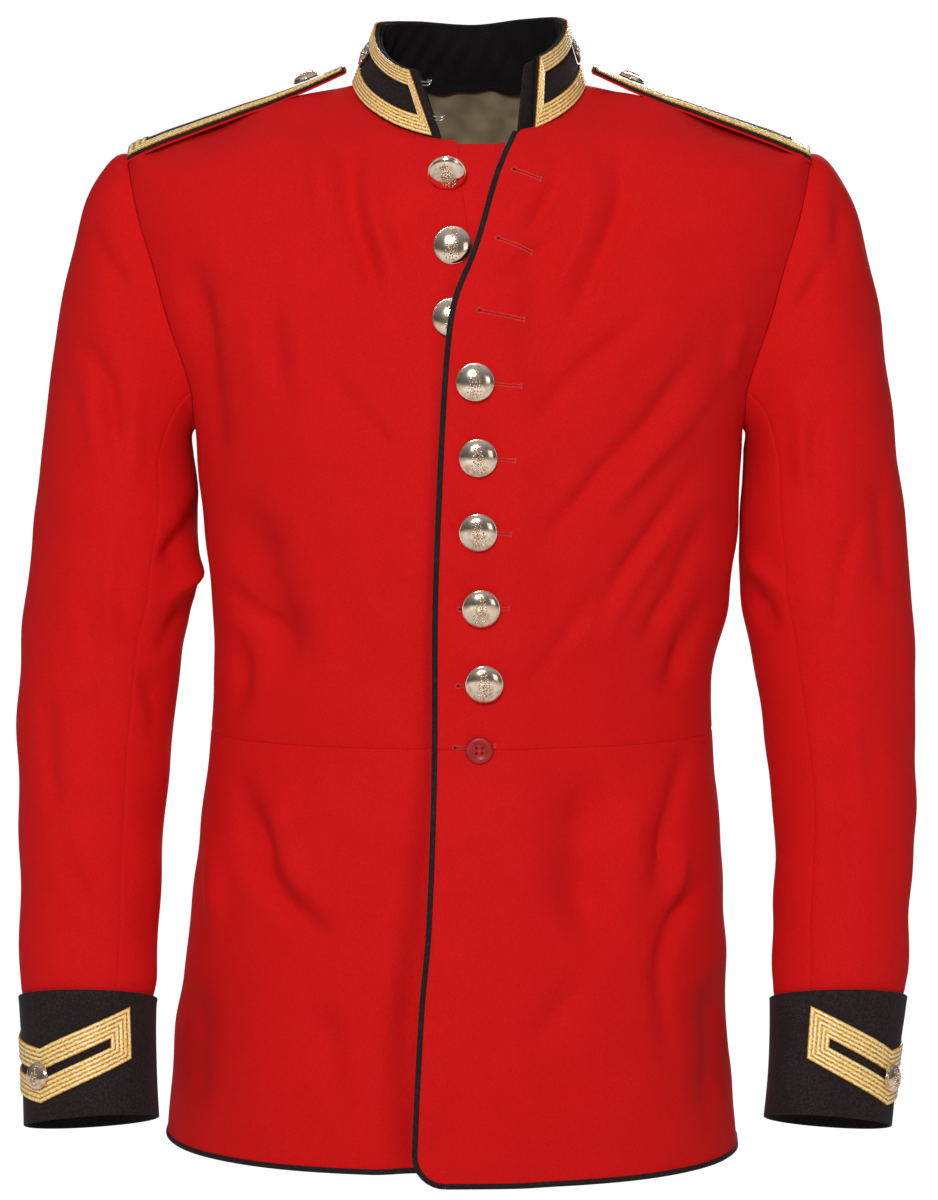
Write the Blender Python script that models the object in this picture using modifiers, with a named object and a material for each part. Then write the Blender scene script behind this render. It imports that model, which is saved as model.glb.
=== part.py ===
"""Military dress tunic, worn shape with no wearer.

Metres, +Z up, the front faces -Y, left and right are the wearer's (right is at -X).
The origin is between the shoulders at the root of the neck, on the shoulder line.

Every cloth piece is a grid in the unit square. It is thickened by one extruded layer and
each of its points is then placed by a function: across the piece, along it, and into it.
Neighbours share the same surface function and the same rows, so their seams meet.
"""
import math

import bmesh
import bpy
import numpy as np
from mathutils import Matrix, Vector

# ---------------------------------------------------------------- driving sizes
CLOTH = 0.0020              # melton wool, one wall
LACE = 0.0014               # wire lace on its backing
LACE_ROOM = 0.0006          # under the lace
SEAM = 0.00035              # room between two pieces that are sewn together
SECTION_POWER = 2.3         # 2 would make every body section an ellipse
SAMPLE = 0.0004             # step for a surface's tangents

# Body sections: height, half width, front depth, back depth, centre's shift to +X.
BODY_SECTIONS = {
    "neck point":    (0.000, 0.0775, 0.012, 0.069, 0.000),
    "neck side":     (-0.007, 0.110, 0.027, 0.076, 0.000),
    "neck front":    (-0.013, 0.132, 0.041, 0.080, 0.000),
    "collar bone":   (-0.019, 0.151, 0.054, 0.084, 0.000),
    "collar pit":    (-0.0255, 0.168, 0.064, 0.087, 0.000),
    "shoulder":      (-0.032, 0.186, 0.0740, 0.090, 0.000),
    "shoulder end":  (-0.047, 0.2325, 0.0885, 0.096, 0.000),
    "shoulder back": (-0.075, 0.236, 0.1035, 0.106, 0.000),
    "chest top":     (-0.110, 0.234, 0.114, 0.115, 0.000),
    "chest":         (-0.160, 0.222, 0.123, 0.120, 0.000),
    "armpit":        (-0.235, 0.1875, 0.125, 0.119, 0.000),
    "ribs":          (-0.280, 0.1850, 0.123, 0.115, 0.001),
    "lower ribs":    (-0.353, 0.1778, 0.116, 0.108, 0.0015),
    "above waist":   (-0.410, 0.1712, 0.111, 0.104, -0.0045),
    "waist":         (-0.440, 0.1725, 0.110, 0.103, -0.005),
    "hip top":       (-0.500, 0.1788, 0.119, 0.113, -0.0058),
    "hip":           (-0.590, 0.1865, 0.130, 0.127, -0.0085),
    "seat":          (-0.650, 0.1916, 0.136, 0.137, -0.0120),
    "hem":           (-0.735, 0.1990, 0.143, 0.148, -0.0118),
}

# Armhole: the seam's half width from the centre at each height.
ARMHOLE_WIDTHS = {
    "top": (-0.047, 0.2325),
    "blade": (-0.090, 0.2225),
    "notch": (-0.125, 0.2115),
    "lower notch": (-0.150, 0.2050),
    "turn": (-0.170, 0.1990),
    "curve": (-0.190, 0.1925),
    "curve end": (-0.210, 0.1880),
    "bottom": (-0.235, 0.1875),
}
ARMHOLE_TOP = -0.047
ARMHOLE_BOTTOM = -0.235
ARMHOLE_FRONT = 0.056       # how far its front edge stands off the shoulder line
ARMHOLE_STEP = 15.0         # degrees round the armhole between two rows of cloth

# Neckline.
NECK_WIDTH = 0.0775
NECK_DROP = 0.037           # of its front, below the shoulder line
NECK_POWER = 1.2

# The left front's piped edge, neck to hem: height and distance from the centre.
FRONT_EDGE = {
    "neck": (-0.0310, 0.0322),
    "first hole": (-0.0604, 0.0186),
    "roll": (-0.0990, 0.0073),
    "second hole": (-0.1147, 0.0020),
    "third hole": (-0.1435, -0.0092),
    "break": (-0.1610, -0.0125),
    "fourth hole": (-0.1987, -0.0158),
    "fifth hole": (-0.2467, -0.0184),
    "seventh hole": (-0.3600, -0.0224),
    "waist": (-0.4400, -0.0228),
    "hip": (-0.5560, -0.0263),
    "seat": (-0.6160, -0.0314),
    "corner": (-0.6910, -0.0353),
    "hem": (-0.7330, -0.0368),
}
UNDERLAP_SEAM = {
    "neck": (-0.0370, -0.0075),
    "first button": (-0.0600, -0.0060),
    "second button": (-0.1000, -0.0010),
    "waist": (-0.4400, -0.0010),
}
UNDERLAP_EDGE = 0.024       # the right front's hidden edge
WAIST = -0.4415
HEM = {"right": -0.7245, "left": -0.7330}     # the left half of the skirt hangs lower
HEM_CORNER = 0.022          # radius of the left front's lower corner
SIDE_SEAM_TURN = 7.0        # degrees the side seam lies behind the widest line

# The left front over the right one.
LAP = 0.0036                # outward step of its cloth
LAP_END = 0.060             # from the centre, where the step has died away
LAP_START = 0.030
RIDE_HEIGHT = 0.0095        # it rides over the third button, which is undone
RIDE_CENTRE = (-0.004, -0.150)
RIDE_REACH = (0.034, 0.060)
RIDE_FALL = 2.2             # how fast it dies away up and down

# Piping: a cord of folded cloth along the edges.
PIPING_WIDTH = 0.0036
PIPING_DEPTH = 0.0026

# Sleeve sections, from the armpit down: height of the middle, outer side, inner side,
# depth, middle's distance to the front, forward tilt in degrees, and how much nearer to
# the body the left sleeve's outer and inner sides hang.
SLEEVE_SECTIONS = {
    "armpit": (-0.255, 0.2944, 0.1898, 0.125, -0.004, 0.0, 0.0005, 0.0000),
    "upper arm": (-0.300, 0.2990, 0.1850, 0.124, -0.002, 1.0, -0.0010, -0.0010),
    "lower upper arm": (-0.345, 0.3042, 0.1885, 0.121, 0.002, 3.0, -0.0005, 0.0022),
    "elbow": (-0.390, 0.3085, 0.1978, 0.117, 0.007, 7.0, 0.0012, 0.0040),
    "below elbow": (-0.440, 0.3106, 0.2029, 0.110, 0.018, 12.0, 0.0041, 0.0006),
    "forearm": (-0.500, 0.3084, 0.2083, 0.101, 0.034, 16.0, 0.0030, -0.0012),
    "lower forearm": (-0.560, 0.3068, 0.2114, 0.092, 0.053, 18.0, 0.0055, 0.0039),
    "above cuff": (-0.602, 0.3057, 0.2124, 0.084, 0.066, 18.0, 0.0075, 0.0054),
    "cuff": (-0.624, 0.3029, 0.2152, 0.077, 0.073, 18.0, 0.0088, 0.0081),
    "cuff middle": (-0.662, 0.2995, 0.2140, 0.075, 0.085, 18.0, 0.0122, 0.0088),
    "wrist": (-0.705, 0.2984, 0.2119, 0.074, 0.098, 18.0, 0.0155, 0.0108),
}
SLEEVE_ARMPIT = -0.255
SLEEVE_END = -0.646         # inside the cuff
SLEEVE_FRONT_SEAM = (135.0, 120.0)   # degrees from the outer side, at armhole and below
SLEEVE_BACK_SEAM = (240.0, 240.0)
SEAM_DRIFT = 0.1            # how far below the armpit the front seam has reached its place
CAP_ROWS = 5
CAP_LEAVE = {"under": (0.8, -0.6), "top": (1.0, 0.12)}     # its slope at the armhole: out, up
CAP_LEAN = 0.25             # and towards the front at the front
CAP_HANDLES = (0.25, 0.15)  # how far that slope carries, of the head's length: under, top
CAP_DRAW = {"right": 0.0120, "left": 0.0095}    # of the head's top, in from the tube's line
CAP_RISE = 0.45             # how far the tube's line carries up, of the head's length
SLEEVE_RADIUS = 0.055       # a usual one, for the room at its seams
TUCK = 0.0004               # how far the sleeve's end is drawn in, inside the cuff

# Cuffs.
CUFF_TOP = -0.6168
CUFF_END = -0.698
CUFF_OUT = 0.0028           # its face, off the sleeve's line
CUFF_SKEW = (0.0004, 0.003)  # taller on its outer side, above and below
CUFF_LEAN = 18.0            # degrees its end tilts forward
CUFF_COLUMNS = 26
CHEVRON_TURN = {"right": 47.0, "left": 33.0}   # its point, degrees forward of the outside
CHEVRON_ARM = 6             # columns of cuff on each side of the point
CHEVRON_RISE = 0.0045       # for each column
CHEVRON_FOOT = 0.0115       # from the cuff's end up to the point
CHEVRON_BANDS = (0.0, 0.0150, 0.0210, 0.0360)

# Collar: angles are from the front's middle, +X positive.
# Collar's height: how far round it, and height.
COLLAR_HEIGHTS = {
    "right end": (0.00, 0.0442),
    "right front": (0.10, 0.0424),
    "right side": (0.20, 0.0404),
    "right back": (0.34, 0.0426),
    "back": (0.52, 0.0402),
    "left back": (0.68, 0.0450),
    "left side": (0.84, 0.0424),
    "left front": (0.92, 0.0446),
    "left end": (1.00, 0.0478),
}
COLLAR_WALL = 0.0022
COLLAR_LINING = 0.0014
COLLAR_BASE_ENDS = (-14.0, 34.0)    # the right end, the left end
COLLAR_TOP_ENDS = (-35.0, 45.0)
COLLAR_TOP_HALF = (0.0640, 0.083, 0.062)    # half width, front depth, back depth
COLLAR_TOP_SHIFT = 0.0012   # of its middle to +X
COLLAR_COLUMNS = 26
COLLAR_BAND = 0.275         # each lace band, of the collar's height
COLLAR_SPLIT = 0.002        # of the way round, half the join of the two laces at the back
COLLAR_BARE = 0.014         # of the way round, with no lace at the right end
COLLAR_LIFT = 0.0010        # its foot, above the neckline
COLLAR_INSET = (0.018, 0.985)    # foot and top of its lace and lining, of its height
TAB_SPAN = (0.955, 0.998)   # its root and the collar's end, of the way round
TAB_REACH = (0.012, 0.0096)     # past the collar's end, at foot and top
TAB_TOP = 0.94              # of the collar's height
TAB_WALL = 0.0016
BADGES = {"right": 0.226, "left": 0.824}    # of the way round the collar
BADGE_RISE = 0.52           # of the collar's height

# Shoulder straps, from the sleeve seam to the tip beside the collar.
STRAP_SPAN = (0.2315, 0.0835)
STRAP_HALF = (0.027, 0.0225)
# Along it, how high it lies above the shoulder line.
STRAP_LIFT = {
    "sleeve seam": (0.00, 0.0016),
    "outer quarter": (0.20, 0.0036),
    "outer third": (0.32, 0.0046),
    "middle": (0.55, 0.0038),
    "inner third": (0.70, 0.0042),
    "button": (0.82, 0.0058),
    "tip": (1.00, 0.0112),
}
STRAP_LAYERS = {"base": (0.0, 0.0012), "face": (0.0015, 0.0012), "lace": (0.0030, LACE)}
STRAP_BORDER = 0.0075
STRAP_INSETS = {"base": 0.0, "face": 0.0008, "lace": 0.0018}
STRAP_GRID = (4, 10)        # columns, rows
STRAP_TIP = 0.86            # of its length, where its end starts to round
STRAP_BLUNT = 0.86          # how much of its width the round takes away
STRAP_CAMBER = 0.0020       # how much lower its sides lie than its middle
STRAP_PITCH = 0.0010        # and how much lower again its front side lies
STRAP_BUTTON_X = 0.110      # its button's distance from the centre

# Buttons: radius, dome height, shank length.
BIG_BUTTON = (0.0127, 0.0058, 0.0016)
SMALL_BUTTON = (0.0092, 0.0044, 0.0026)
STRAP_BUTTON = (0.0092, 0.0044, 0.0016)
SHANK = 0.0022
BUTTON_SIDES = 12
DOME_STEPS = 5
BUTTON_RIM = (0.0004, 0.0012)   # where its rim starts and ends, above its back

# Front buttons: distance from the centre, height, outward step, droop in degrees.
FRONT_BUTTONS = {
    "button_1": (-0.0145, -0.0610, 0.0092, 60.0),
    "button_2": (-0.0108, -0.1057, 0.0000, 8.0),
    "button_3": (-0.0115, -0.1525, -0.0002, 0.0),
    "button_4": (0.0040, -0.1947, 0.0000, 0.0),
    "button_5": (0.0060, -0.2446, 0.0000, 0.0),
    "button_6": (0.0060, -0.2938, 0.0000, 0.0),
    "button_7": (0.0080, -0.3450, 0.0000, 0.0),
    "button_8": (0.0100, -0.3962, 0.0000, 0.0),
}
BUTTON_ROOM = 0.0005        # between a button's foot and what carries it
UNDONE_BUTTONS = ("button_1", "button_2", "button_3")
WAIST_BUTTON = (0.0068, -0.4415, 0.0093, 0.0028)   # across, height, radius, thickness
# Its section and the badge's, from the top's middle down: radius and height.
WAIST_PROFILE = ((0.0, 0.70), (0.55, 0.70), (0.68, 1.0), (0.90, 1.0), (1.0, 0.60), (0.90, 0.0), (0.0, 0.0))
BADGE_PROFILE = ((0.0, 0.0046), (0.0045, 0.0042), (0.0078, 0.0026), (0.0082, 0.0016),
                 (0.0092, 0.0014), (0.0092, 0.0), (0.0, 0.0))

# Collar hooks: their height on the collar's end, and the wire's stops out, behind and up.
HOOKS = {"hook_upper": 0.80, "hook_lower": 0.28}
HOOK_WIRE = 0.0005
HOOK_ROUTE = ((0.0005, 0.0, 0.0), (0.0045, 0.0, 0.0004), (0.0062, 0.0006, 0.0012),
              (0.0066, 0.0018, 0.0022), (0.0052, 0.0026, 0.0026), (0.0030, 0.0026, 0.0024))

# Plain colours and finish of each material: red, green, blue, roughness, metallic.
FINISHES = {
    "scarlet": (0.62, 0.010, 0.014, 0.85, 0.0),
    "black wool": (0.018, 0.014, 0.015, 0.9, 0.0),
    "black cloth": (0.012, 0.010, 0.010, 0.8, 0.0),
    "gold lace": (0.78, 0.50, 0.12, 0.45, 0.8),
    "satin": (0.26, 0.23, 0.17, 0.5, 0.0),
    "plated": (0.72, 0.66, 0.56, 0.22, 1.0),
    "red plastic": (0.55, 0.02, 0.03, 0.35, 0.0),
}


# ---------------------------------------------------------------- small tools
class Curve:
    """A smooth curve through a table's rows that never overshoots them."""

    def __init__(self, keys, values):
        order = np.argsort(keys)
        self.keys = np.array(keys, float)[order]
        self.values = np.array(values, float)[order]
        steps = np.diff(self.values) / np.diff(self.keys)
        self.slopes = np.zeros(len(self.keys))
        self.slopes[0] = steps[0]
        self.slopes[-1] = steps[-1]
        for row in range(1, len(self.keys) - 1):
            before, after = steps[row - 1], steps[row]
            if before * after > 0:
                self.slopes[row] = 2 * before * after / (before + after)

    def __call__(self, key):
        if key <= self.keys[0]:
            return float(self.values[0] + self.slopes[0] * (key - self.keys[0]))
        if key >= self.keys[-1]:
            return float(self.values[-1] + self.slopes[-1] * (key - self.keys[-1]))
        row = int(np.searchsorted(self.keys, key)) - 1
        width = self.keys[row + 1] - self.keys[row]
        t = (key - self.keys[row]) / width
        rise = t * t * (3 - 2 * t)
        start = t * (1 - t) ** 2 * self.slopes[row] * width
        end = t * t * (1 - t) * self.slopes[row + 1] * width
        low, high = self.values[row], self.values[row + 1]
        return float(low + (high - low) * rise + start - end)


def column_curve(table, column):
    """The curve of one column of a table against its first column."""
    rows = list(table.values())
    return Curve([row[0] for row in rows], [row[column] for row in rows])


def blend(low, high, t):
    return low + (high - low) * t


def ease(t):
    t = min(max(t, 0.0), 1.0)
    return t * t * (3 - 2 * t)


def offset_from(surface, a, b, out, turn=1.0):
    """The point of surface(a, b) moved out along the surface's own normal."""
    along_a = surface(a + SAMPLE, b) - surface(a - SAMPLE, b)
    along_b = surface(a, b + SAMPLE) - surface(a, b - SAMPLE)
    normal = along_a.cross(along_b).normalized() * turn
    return surface(a, b) + normal * out


# ---------------------------------------------------------------- the body's surface
half_width = column_curve(BODY_SECTIONS, 1)
front_depth = column_curve(BODY_SECTIONS, 2)
back_depth = column_curve(BODY_SECTIONS, 3)
centre_x = column_curve(BODY_SECTIONS, 4)
armhole_width = column_curve(ARMHOLE_WIDTHS, 1)
front_edge = column_curve(FRONT_EDGE, 1)
underlap_seam = column_curve(UNDERLAP_SEAM, 1)


def armhole_reach(z):
    """How far the armhole's front edge stands off the shoulder line at height z."""
    middle = (ARMHOLE_TOP + ARMHOLE_BOTTOM) / 2
    half = (ARMHOLE_TOP - ARMHOLE_BOTTOM) / 2
    return ARMHOLE_FRONT * math.sqrt(max(0.0, 1 - ((z - middle) / half) ** 2))


def section_half_width(z):
    """Half width of a body section: beside the armhole it follows the armhole's seam."""
    if not ARMHOLE_BOTTOM < z < ARMHOLE_TOP:
        return half_width(z)
    reach = armhole_reach(z) / front_depth(z)
    return armhole_width(z) / (1 - reach ** SECTION_POWER) ** (1 / SECTION_POWER)


def body_surface(angle, z):
    """Point of the body's surface; the angle in radians is 0 in front, positive to +X."""
    depth = front_depth(z) if math.cos(angle) > 0 else back_depth(z)
    across = abs(math.sin(angle)) / section_half_width(z)
    forward = abs(math.cos(angle)) / depth
    radius = (across ** SECTION_POWER + forward ** SECTION_POWER) ** (-1 / SECTION_POWER)
    return Vector((centre_x(z) + radius * math.sin(angle), -radius * math.cos(angle), z))


def body_point(angle, z, out=0.0):
    """Point off the body's surface by out."""
    return offset_from(body_surface, angle, z, out)


def front_angle(x, z):
    """Angle of the body's front at a distance x from the centre line."""
    across = min(abs(x - centre_x(z)) / section_half_width(z), 1.0)
    forward = front_depth(z) * (1 - across ** SECTION_POWER) ** (1 / SECTION_POWER)
    return math.atan2(x - centre_x(z), forward)


def neck_height(turn):
    """Height of the neckline at an angle (degrees) round the neck from the front."""
    return -NECK_DROP * max(0.0, math.cos(math.radians(turn))) ** NECK_POWER


def neck_angle(turn):
    """The body angle (radians) of the neckline at an angle (degrees) round the neck."""
    if abs(turn) >= 90:
        return math.radians(turn)
    z = neck_height(turn)
    return front_angle(NECK_WIDTH * math.sin(math.radians(turn)), z)


def neck_point(turn):
    return body_surface(neck_angle(turn), neck_height(turn))


def armhole_height(turn):
    """Height of the armhole's seam, turn degrees round it from its top."""
    middle = (ARMHOLE_TOP + ARMHOLE_BOTTOM) / 2
    half = (ARMHOLE_TOP - ARMHOLE_BOTTOM) / 2
    return middle + half * math.cos(math.radians(turn))


def armhole_angle(turn, front):
    """Body angle (radians, positive) of the armhole's seam."""
    z = armhole_height(turn)
    reach = armhole_reach(z)
    if not front:
        reach *= -back_depth(z) / front_depth(z)
    return math.atan2(armhole_width(z), reach)


def side_angle(z):
    """Body angle (radians, positive) of the side seam."""
    return math.radians(90 + SIDE_SEAM_TURN * ease((ARMHOLE_BOTTOM - z) / 0.15))


def lap_step(x, z):
    """How far the left front stands off the body's surface."""
    fade = 1 - ease((x - LAP_START) / (LAP_END - LAP_START))
    across = (x - RIDE_CENTRE[0]) / RIDE_REACH[0]
    along = (z - RIDE_CENTRE[1]) / RIDE_REACH[1]
    ride = RIDE_HEIGHT * ease(1.5 - across) if x > RIDE_CENTRE[0] else RIDE_HEIGHT
    return LAP * fade + ride * fade * math.exp(-RIDE_FALL * along ** 2)


# ---------------------------------------------------------------- materials and objects
def make_collection():
    for item in list(bpy.data.objects):
        bpy.data.objects.remove(item, do_unlink=True)
    collection = bpy.data.collections.new("military_dress_tunic")
    bpy.context.scene.collection.children.link(collection)
    return collection


def make_material(name):
    red, green, blue, roughness, metallic = FINISHES[name]
    material = bpy.data.materials.new(name)
    material.use_nodes = True
    shader = material.node_tree.nodes["Principled BSDF"]
    shader.inputs["Base Color"].default_value = (red, green, blue, 1)
    shader.inputs["Roughness"].default_value = roughness
    shader.inputs["Metallic"].default_value = metallic
    return material


def add_object(name, mesh, finish):
    """One named object with its own material, in the tunic's collection."""
    mesh.materials.append(make_material(finish))
    item = bpy.data.objects.new(name, mesh)
    COLLECTION.objects.link(item)
    return item


def cloth(name, columns, rows, place, finish, thickness=CLOTH, keep=None, ring=False):
    """A wall of cloth: place(across, along, depth) gives each of its points."""
    sheet = bmesh.new()
    bmesh.ops.create_grid(sheet, x_segments=columns, y_segments=rows, size=0.5)
    if keep:
        dropped = []
        for face in sheet.faces:
            middle = face.calc_center_median()
            column = int((middle.x + 0.5) * columns)
            row = int((middle.y + 0.5) * rows)
            if not keep(column, row):
                dropped.append(face)
        bmesh.ops.delete(sheet, geom=dropped, context="FACES")
    if ring:
        first = {round(v.co.y, 5): v for v in sheet.verts if v.co.x < -0.4999}
        last = [v for v in sheet.verts if v.co.x > 0.4999]
        targets = {v: first[round(v.co.y, 5)] for v in last}
        bmesh.ops.weld_verts(sheet, targetmap=targets)
    layer = bmesh.ops.extrude_face_region(sheet, geom=list(sheet.faces))
    inner = {item for item in layer["geom"] if isinstance(item, bmesh.types.BMVert)}
    for vert in sheet.verts:
        depth = thickness if vert in inner else 0.0
        vert.co = place(vert.co.x + 0.5, vert.co.y + 0.5, depth)
    bmesh.ops.recalc_face_normals(sheet, faces=sheet.faces)
    if sheet.calc_volume(signed=True) < 0:
        bmesh.ops.reverse_faces(sheet, faces=sheet.faces)
    mesh = bpy.data.meshes.new(name)
    sheet.to_mesh(mesh)
    sheet.free()
    return add_object(name, mesh, finish)


def turned(name, profile, finish, middle, outward, sides=BUTTON_SIDES):
    """A profile of (radius, height) pairs turned about the axis that points outward."""
    mesh = bpy.data.meshes.new(name)
    points = [(radius, 0, height) for radius, height in profile]
    mesh.from_pydata(points, [(i, i + 1) for i in range(len(points) - 1)], [])
    item = add_object(name, mesh, finish)
    screw = item.modifiers.new("turn", "SCREW")
    screw.steps = sides
    screw.render_steps = sides
    screw.use_merge_vertices = True
    screw.merge_threshold = 0.00001
    item.matrix_world = Matrix.Translation(middle) @ outward.to_track_quat("Z", "Y").to_matrix().to_4x4()
    return item


def strip(name, stops, point_at, width, thickness, finish):
    """A bar with a square section through stops; point_at gives each one's place and normal."""
    middles, normals = zip(*(point_at(*stop) for stop in stops))
    last = len(stops) - 1

    def place(across, along, depth):
        row = round(along * last)
        ahead = middles[min(row + 1, last)] - middles[max(row - 1, 0)]
        side = normals[row].cross(ahead).normalized()
        step = side * (across - 0.5) * width - normals[row] * (depth - thickness / 2)
        return middles[row] + step
    return cloth(name, 1, last, place, finish, thickness)


# ---------------------------------------------------------------- fronts and backs
ARMHOLE_TURNS = [ARMHOLE_STEP * step for step in range(13)]
LOWER_ROWS = 5
FRONT_COLUMNS = 8
BACK_COLUMNS = 7
LINING_COLUMNS = 4
LINING_ROWS = 9
LINING_WALL = 0.001

# Heights of a front's inner edge at the rows that end along the armhole, once past the neck.
FRONT_ROWS = {105: -0.060, 120: -0.090, 135: -0.122, 150: -0.155, 165: -0.190, 180: -0.225}
BACK_ROWS = {90: -0.025, 105: -0.055, 120: -0.090, 135: -0.125, 150: -0.160, 165: -0.193, 180: -0.225}
NECK_CORNERS = {"left": 25.7, "right": 5.5}     # degrees round the neck where a front ends


def front_rows(side):
    """Rows of a front as (inner height, neck turn or None, armhole turn or height)."""
    rows = []
    for turn in ARMHOLE_TURNS:
        if turn <= 90:
            neck = blend(90.0, NECK_CORNERS[side], turn / 90)
            rows.append((neck_height(neck), neck, turn, None))
        else:
            rows.append((FRONT_ROWS[turn], None, turn, None))
    for step in range(1, LOWER_ROWS + 1):
        inner = blend(FRONT_ROWS[180], WAIST, step / LOWER_ROWS)
        outer = blend(ARMHOLE_BOTTOM, WAIST, step / LOWER_ROWS)
        rows.append((inner, None, None, outer))
    return rows


def back_rows():
    rows = []
    for turn in ARMHOLE_TURNS:
        if turn <= 75:
            rows.append((0.0, blend(90.0, 180.0, turn / 75), turn, None))
        else:
            rows.append((BACK_ROWS[turn], None, turn, None))
    for step in range(1, LOWER_ROWS + 1):
        inner = blend(BACK_ROWS[180], WAIST, step / LOWER_ROWS)
        outer = blend(ARMHOLE_BOTTOM, WAIST, step / LOWER_ROWS)
        rows.append((inner, None, None, outer))
    return rows


def row_outer(row, front):
    """Outer end of a row: its body angle and height, on the armhole or the side seam."""
    turn, z = row[2], row[3]
    if turn is None:
        return side_angle(z), z
    return armhole_angle(turn, front), armhole_height(turn)


def shoulder_trim(row, z):
    """Room for the shoulder seam, along a panel's first row."""
    return seam_trim(z, math.pi / 2) if row[2] == 0 else 0.0


def seam_trim(z, angle):
    """Angle that leaves room for a seam at this height."""
    return SEAM / 2 / max((body_surface(angle, z).xy).length, 0.03)


def make_front(side):
    """A front, from the shoulder seam and neckline to the waist seam."""
    sign = 1 if side == "left" else -1
    rows = front_rows(side)

    def inner_edge(row):
        z, neck = row[0], row[1]
        if neck is not None:
            return neck_angle(sign * neck) - sign * shoulder_trim(row, z), z
        if side == "left":
            return front_angle(front_edge(z) + PIPING_WIDTH / 2 + SEAM, z), z
        return front_angle(underlap_seam(z), z) - seam_trim(z, 0.0), z

    def place(across, along, depth):
        row = rows[round(along * (len(rows) - 1))]
        in_angle, in_z = inner_edge(row)
        out_angle, out_z = row_outer(row, True)
        out_angle -= seam_trim(out_z, out_angle)
        angle = blend(in_angle, sign * out_angle, across)
        z = blend(in_z, out_z, across)
        if along > 0.999:
            z += SEAM / 2
        lap = lap_step(body_surface(angle, z).x, z) if side == "left" else 0.0
        return body_point(angle, z, lap - depth)
    cloth("front_" + side, FRONT_COLUMNS, len(rows) - 1, place, "scarlet")


def back_place(side, rows, share=1.0, last_row=None, inward=0.0):
    """The placing function of a back half, or of a piece that lies inside part of it."""
    sign = 1 if side == "left" else -1
    middle = math.pi
    last = last_row or len(rows) - 1

    def place(across, along, depth):
        row = rows[round(along * last)]
        in_z = row[0]
        in_angle = math.radians(row[1]) if row[1] is not None else middle
        in_angle = min(in_angle + shoulder_trim(row, in_z), middle - seam_trim(in_z, middle))
        out_angle, out_z = row_outer(row, False)
        out_angle += seam_trim(out_z, out_angle)
        angle = blend(in_angle, out_angle, across * share) * sign
        z = blend(in_z, out_z, across * share)
        if row is rows[-1]:
            z += SEAM / 2
        return body_point(angle, z, -inward - depth)
    return place


def make_back(side):
    """A back half, from the shoulder seam and neckline to the waist seam."""
    rows = back_rows()
    cloth("back_" + side, BACK_COLUMNS, len(rows) - 1, back_place(side, rows), "scarlet")


def make_neck_lining(side):
    """The satin that shows inside the back of the neck, under half of the back."""
    share = LINING_COLUMNS / BACK_COLUMNS
    place = back_place(side, back_rows(), share, LINING_ROWS, CLOTH + SEAM)
    cloth("neck_lining_" + side, LINING_COLUMNS, LINING_ROWS, place, "satin", LINING_WALL)


def make_underlap():
    """The right front's button stand, from the neck to the waist, under the left front."""
    heights = [row[0] for row in front_rows("right") if row[2] is None or row[2] >= 90]

    def place(across, along, depth):
        row = round(along * (len(heights) - 1))
        z = heights[row] + (SEAM / 2 if row == len(heights) - 1 else 0.0)
        left = front_angle(underlap_seam(z), z) + seam_trim(z, 0.0)
        right = front_angle(UNDERLAP_EDGE, z)
        return body_point(blend(left, right, across), z, -depth)
    cloth("front_underlap", 2, len(heights) - 1, place, "scarlet")


# ---------------------------------------------------------------- skirts and piping
SKIRT_STEPS = 5
CORNER_TURNS = (30, 60, 90)     # degrees round the left front's lower corner, for the last rows
PANEL_CORNER = HEM_CORNER - PIPING_WIDTH - SEAM
PIPING_CORNER = HEM_CORNER - PIPING_WIDTH / 2
CORNER_HEIGHT = HEM["left"] + HEM_CORNER


def skirt_heights(hem):
    """Heights of the skirt's rows, waist to hem."""
    top = WAIST - SEAM / 2
    corner = hem + HEM_CORNER
    heights = [blend(top, corner, step / SKIRT_STEPS) for step in range(SKIRT_STEPS + 1)]
    return heights + [corner - PANEL_CORNER * math.sin(math.radians(a)) for a in CORNER_TURNS]


SKIRT_HEIGHTS = {side: skirt_heights(hem) for side, hem in HEM.items()}
SKIRT_ROWS = len(SKIRT_HEIGHTS["left"]) - 1


def across_skirt(heights, angle, sign):
    """A height of the skirt: one for each front, and the back joins the two."""
    share = ease((abs(angle) - math.pi / 2) / (math.pi / 2)) / 2
    if sign < 0:
        share = 1 - share
    return blend(heights["left"], heights["right"], share)


def skirt_height(row, angle, sign):
    return across_skirt({side: rows[row] for side, rows in SKIRT_HEIGHTS.items()}, angle, sign)


def corner_x(radius, turn):
    """Distance from the centre line, turn degrees round an arc of the lower corner."""
    middle = front_edge(CORNER_HEIGHT) - PIPING_WIDTH / 2 + HEM_CORNER
    return middle - radius * math.cos(math.radians(turn))


def make_skirt_front(side):
    sign = 1 if side == "left" else -1

    def inner_x(row, z):
        if side == "right":
            return UNDERLAP_EDGE
        if row > SKIRT_STEPS:
            return corner_x(PANEL_CORNER, CORNER_TURNS[row - SKIRT_STEPS - 1])
        return front_edge(z) + PIPING_WIDTH / 2 + SEAM

    def place(across, along, depth):
        row = round(along * SKIRT_ROWS)
        z = SKIRT_HEIGHTS[side][row]
        in_angle = front_angle(inner_x(row, z), z)
        out_angle = side_angle(z) - seam_trim(z, math.pi / 2)
        angle = blend(in_angle, sign * out_angle, across)
        z = skirt_height(row, angle, sign)
        lap = lap_step(body_surface(angle, z).x, z) if side == "left" else 0.0
        return body_point(angle, z, lap - depth)
    cloth("skirt_front_" + side, FRONT_COLUMNS, SKIRT_ROWS, place, "scarlet")


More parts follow.
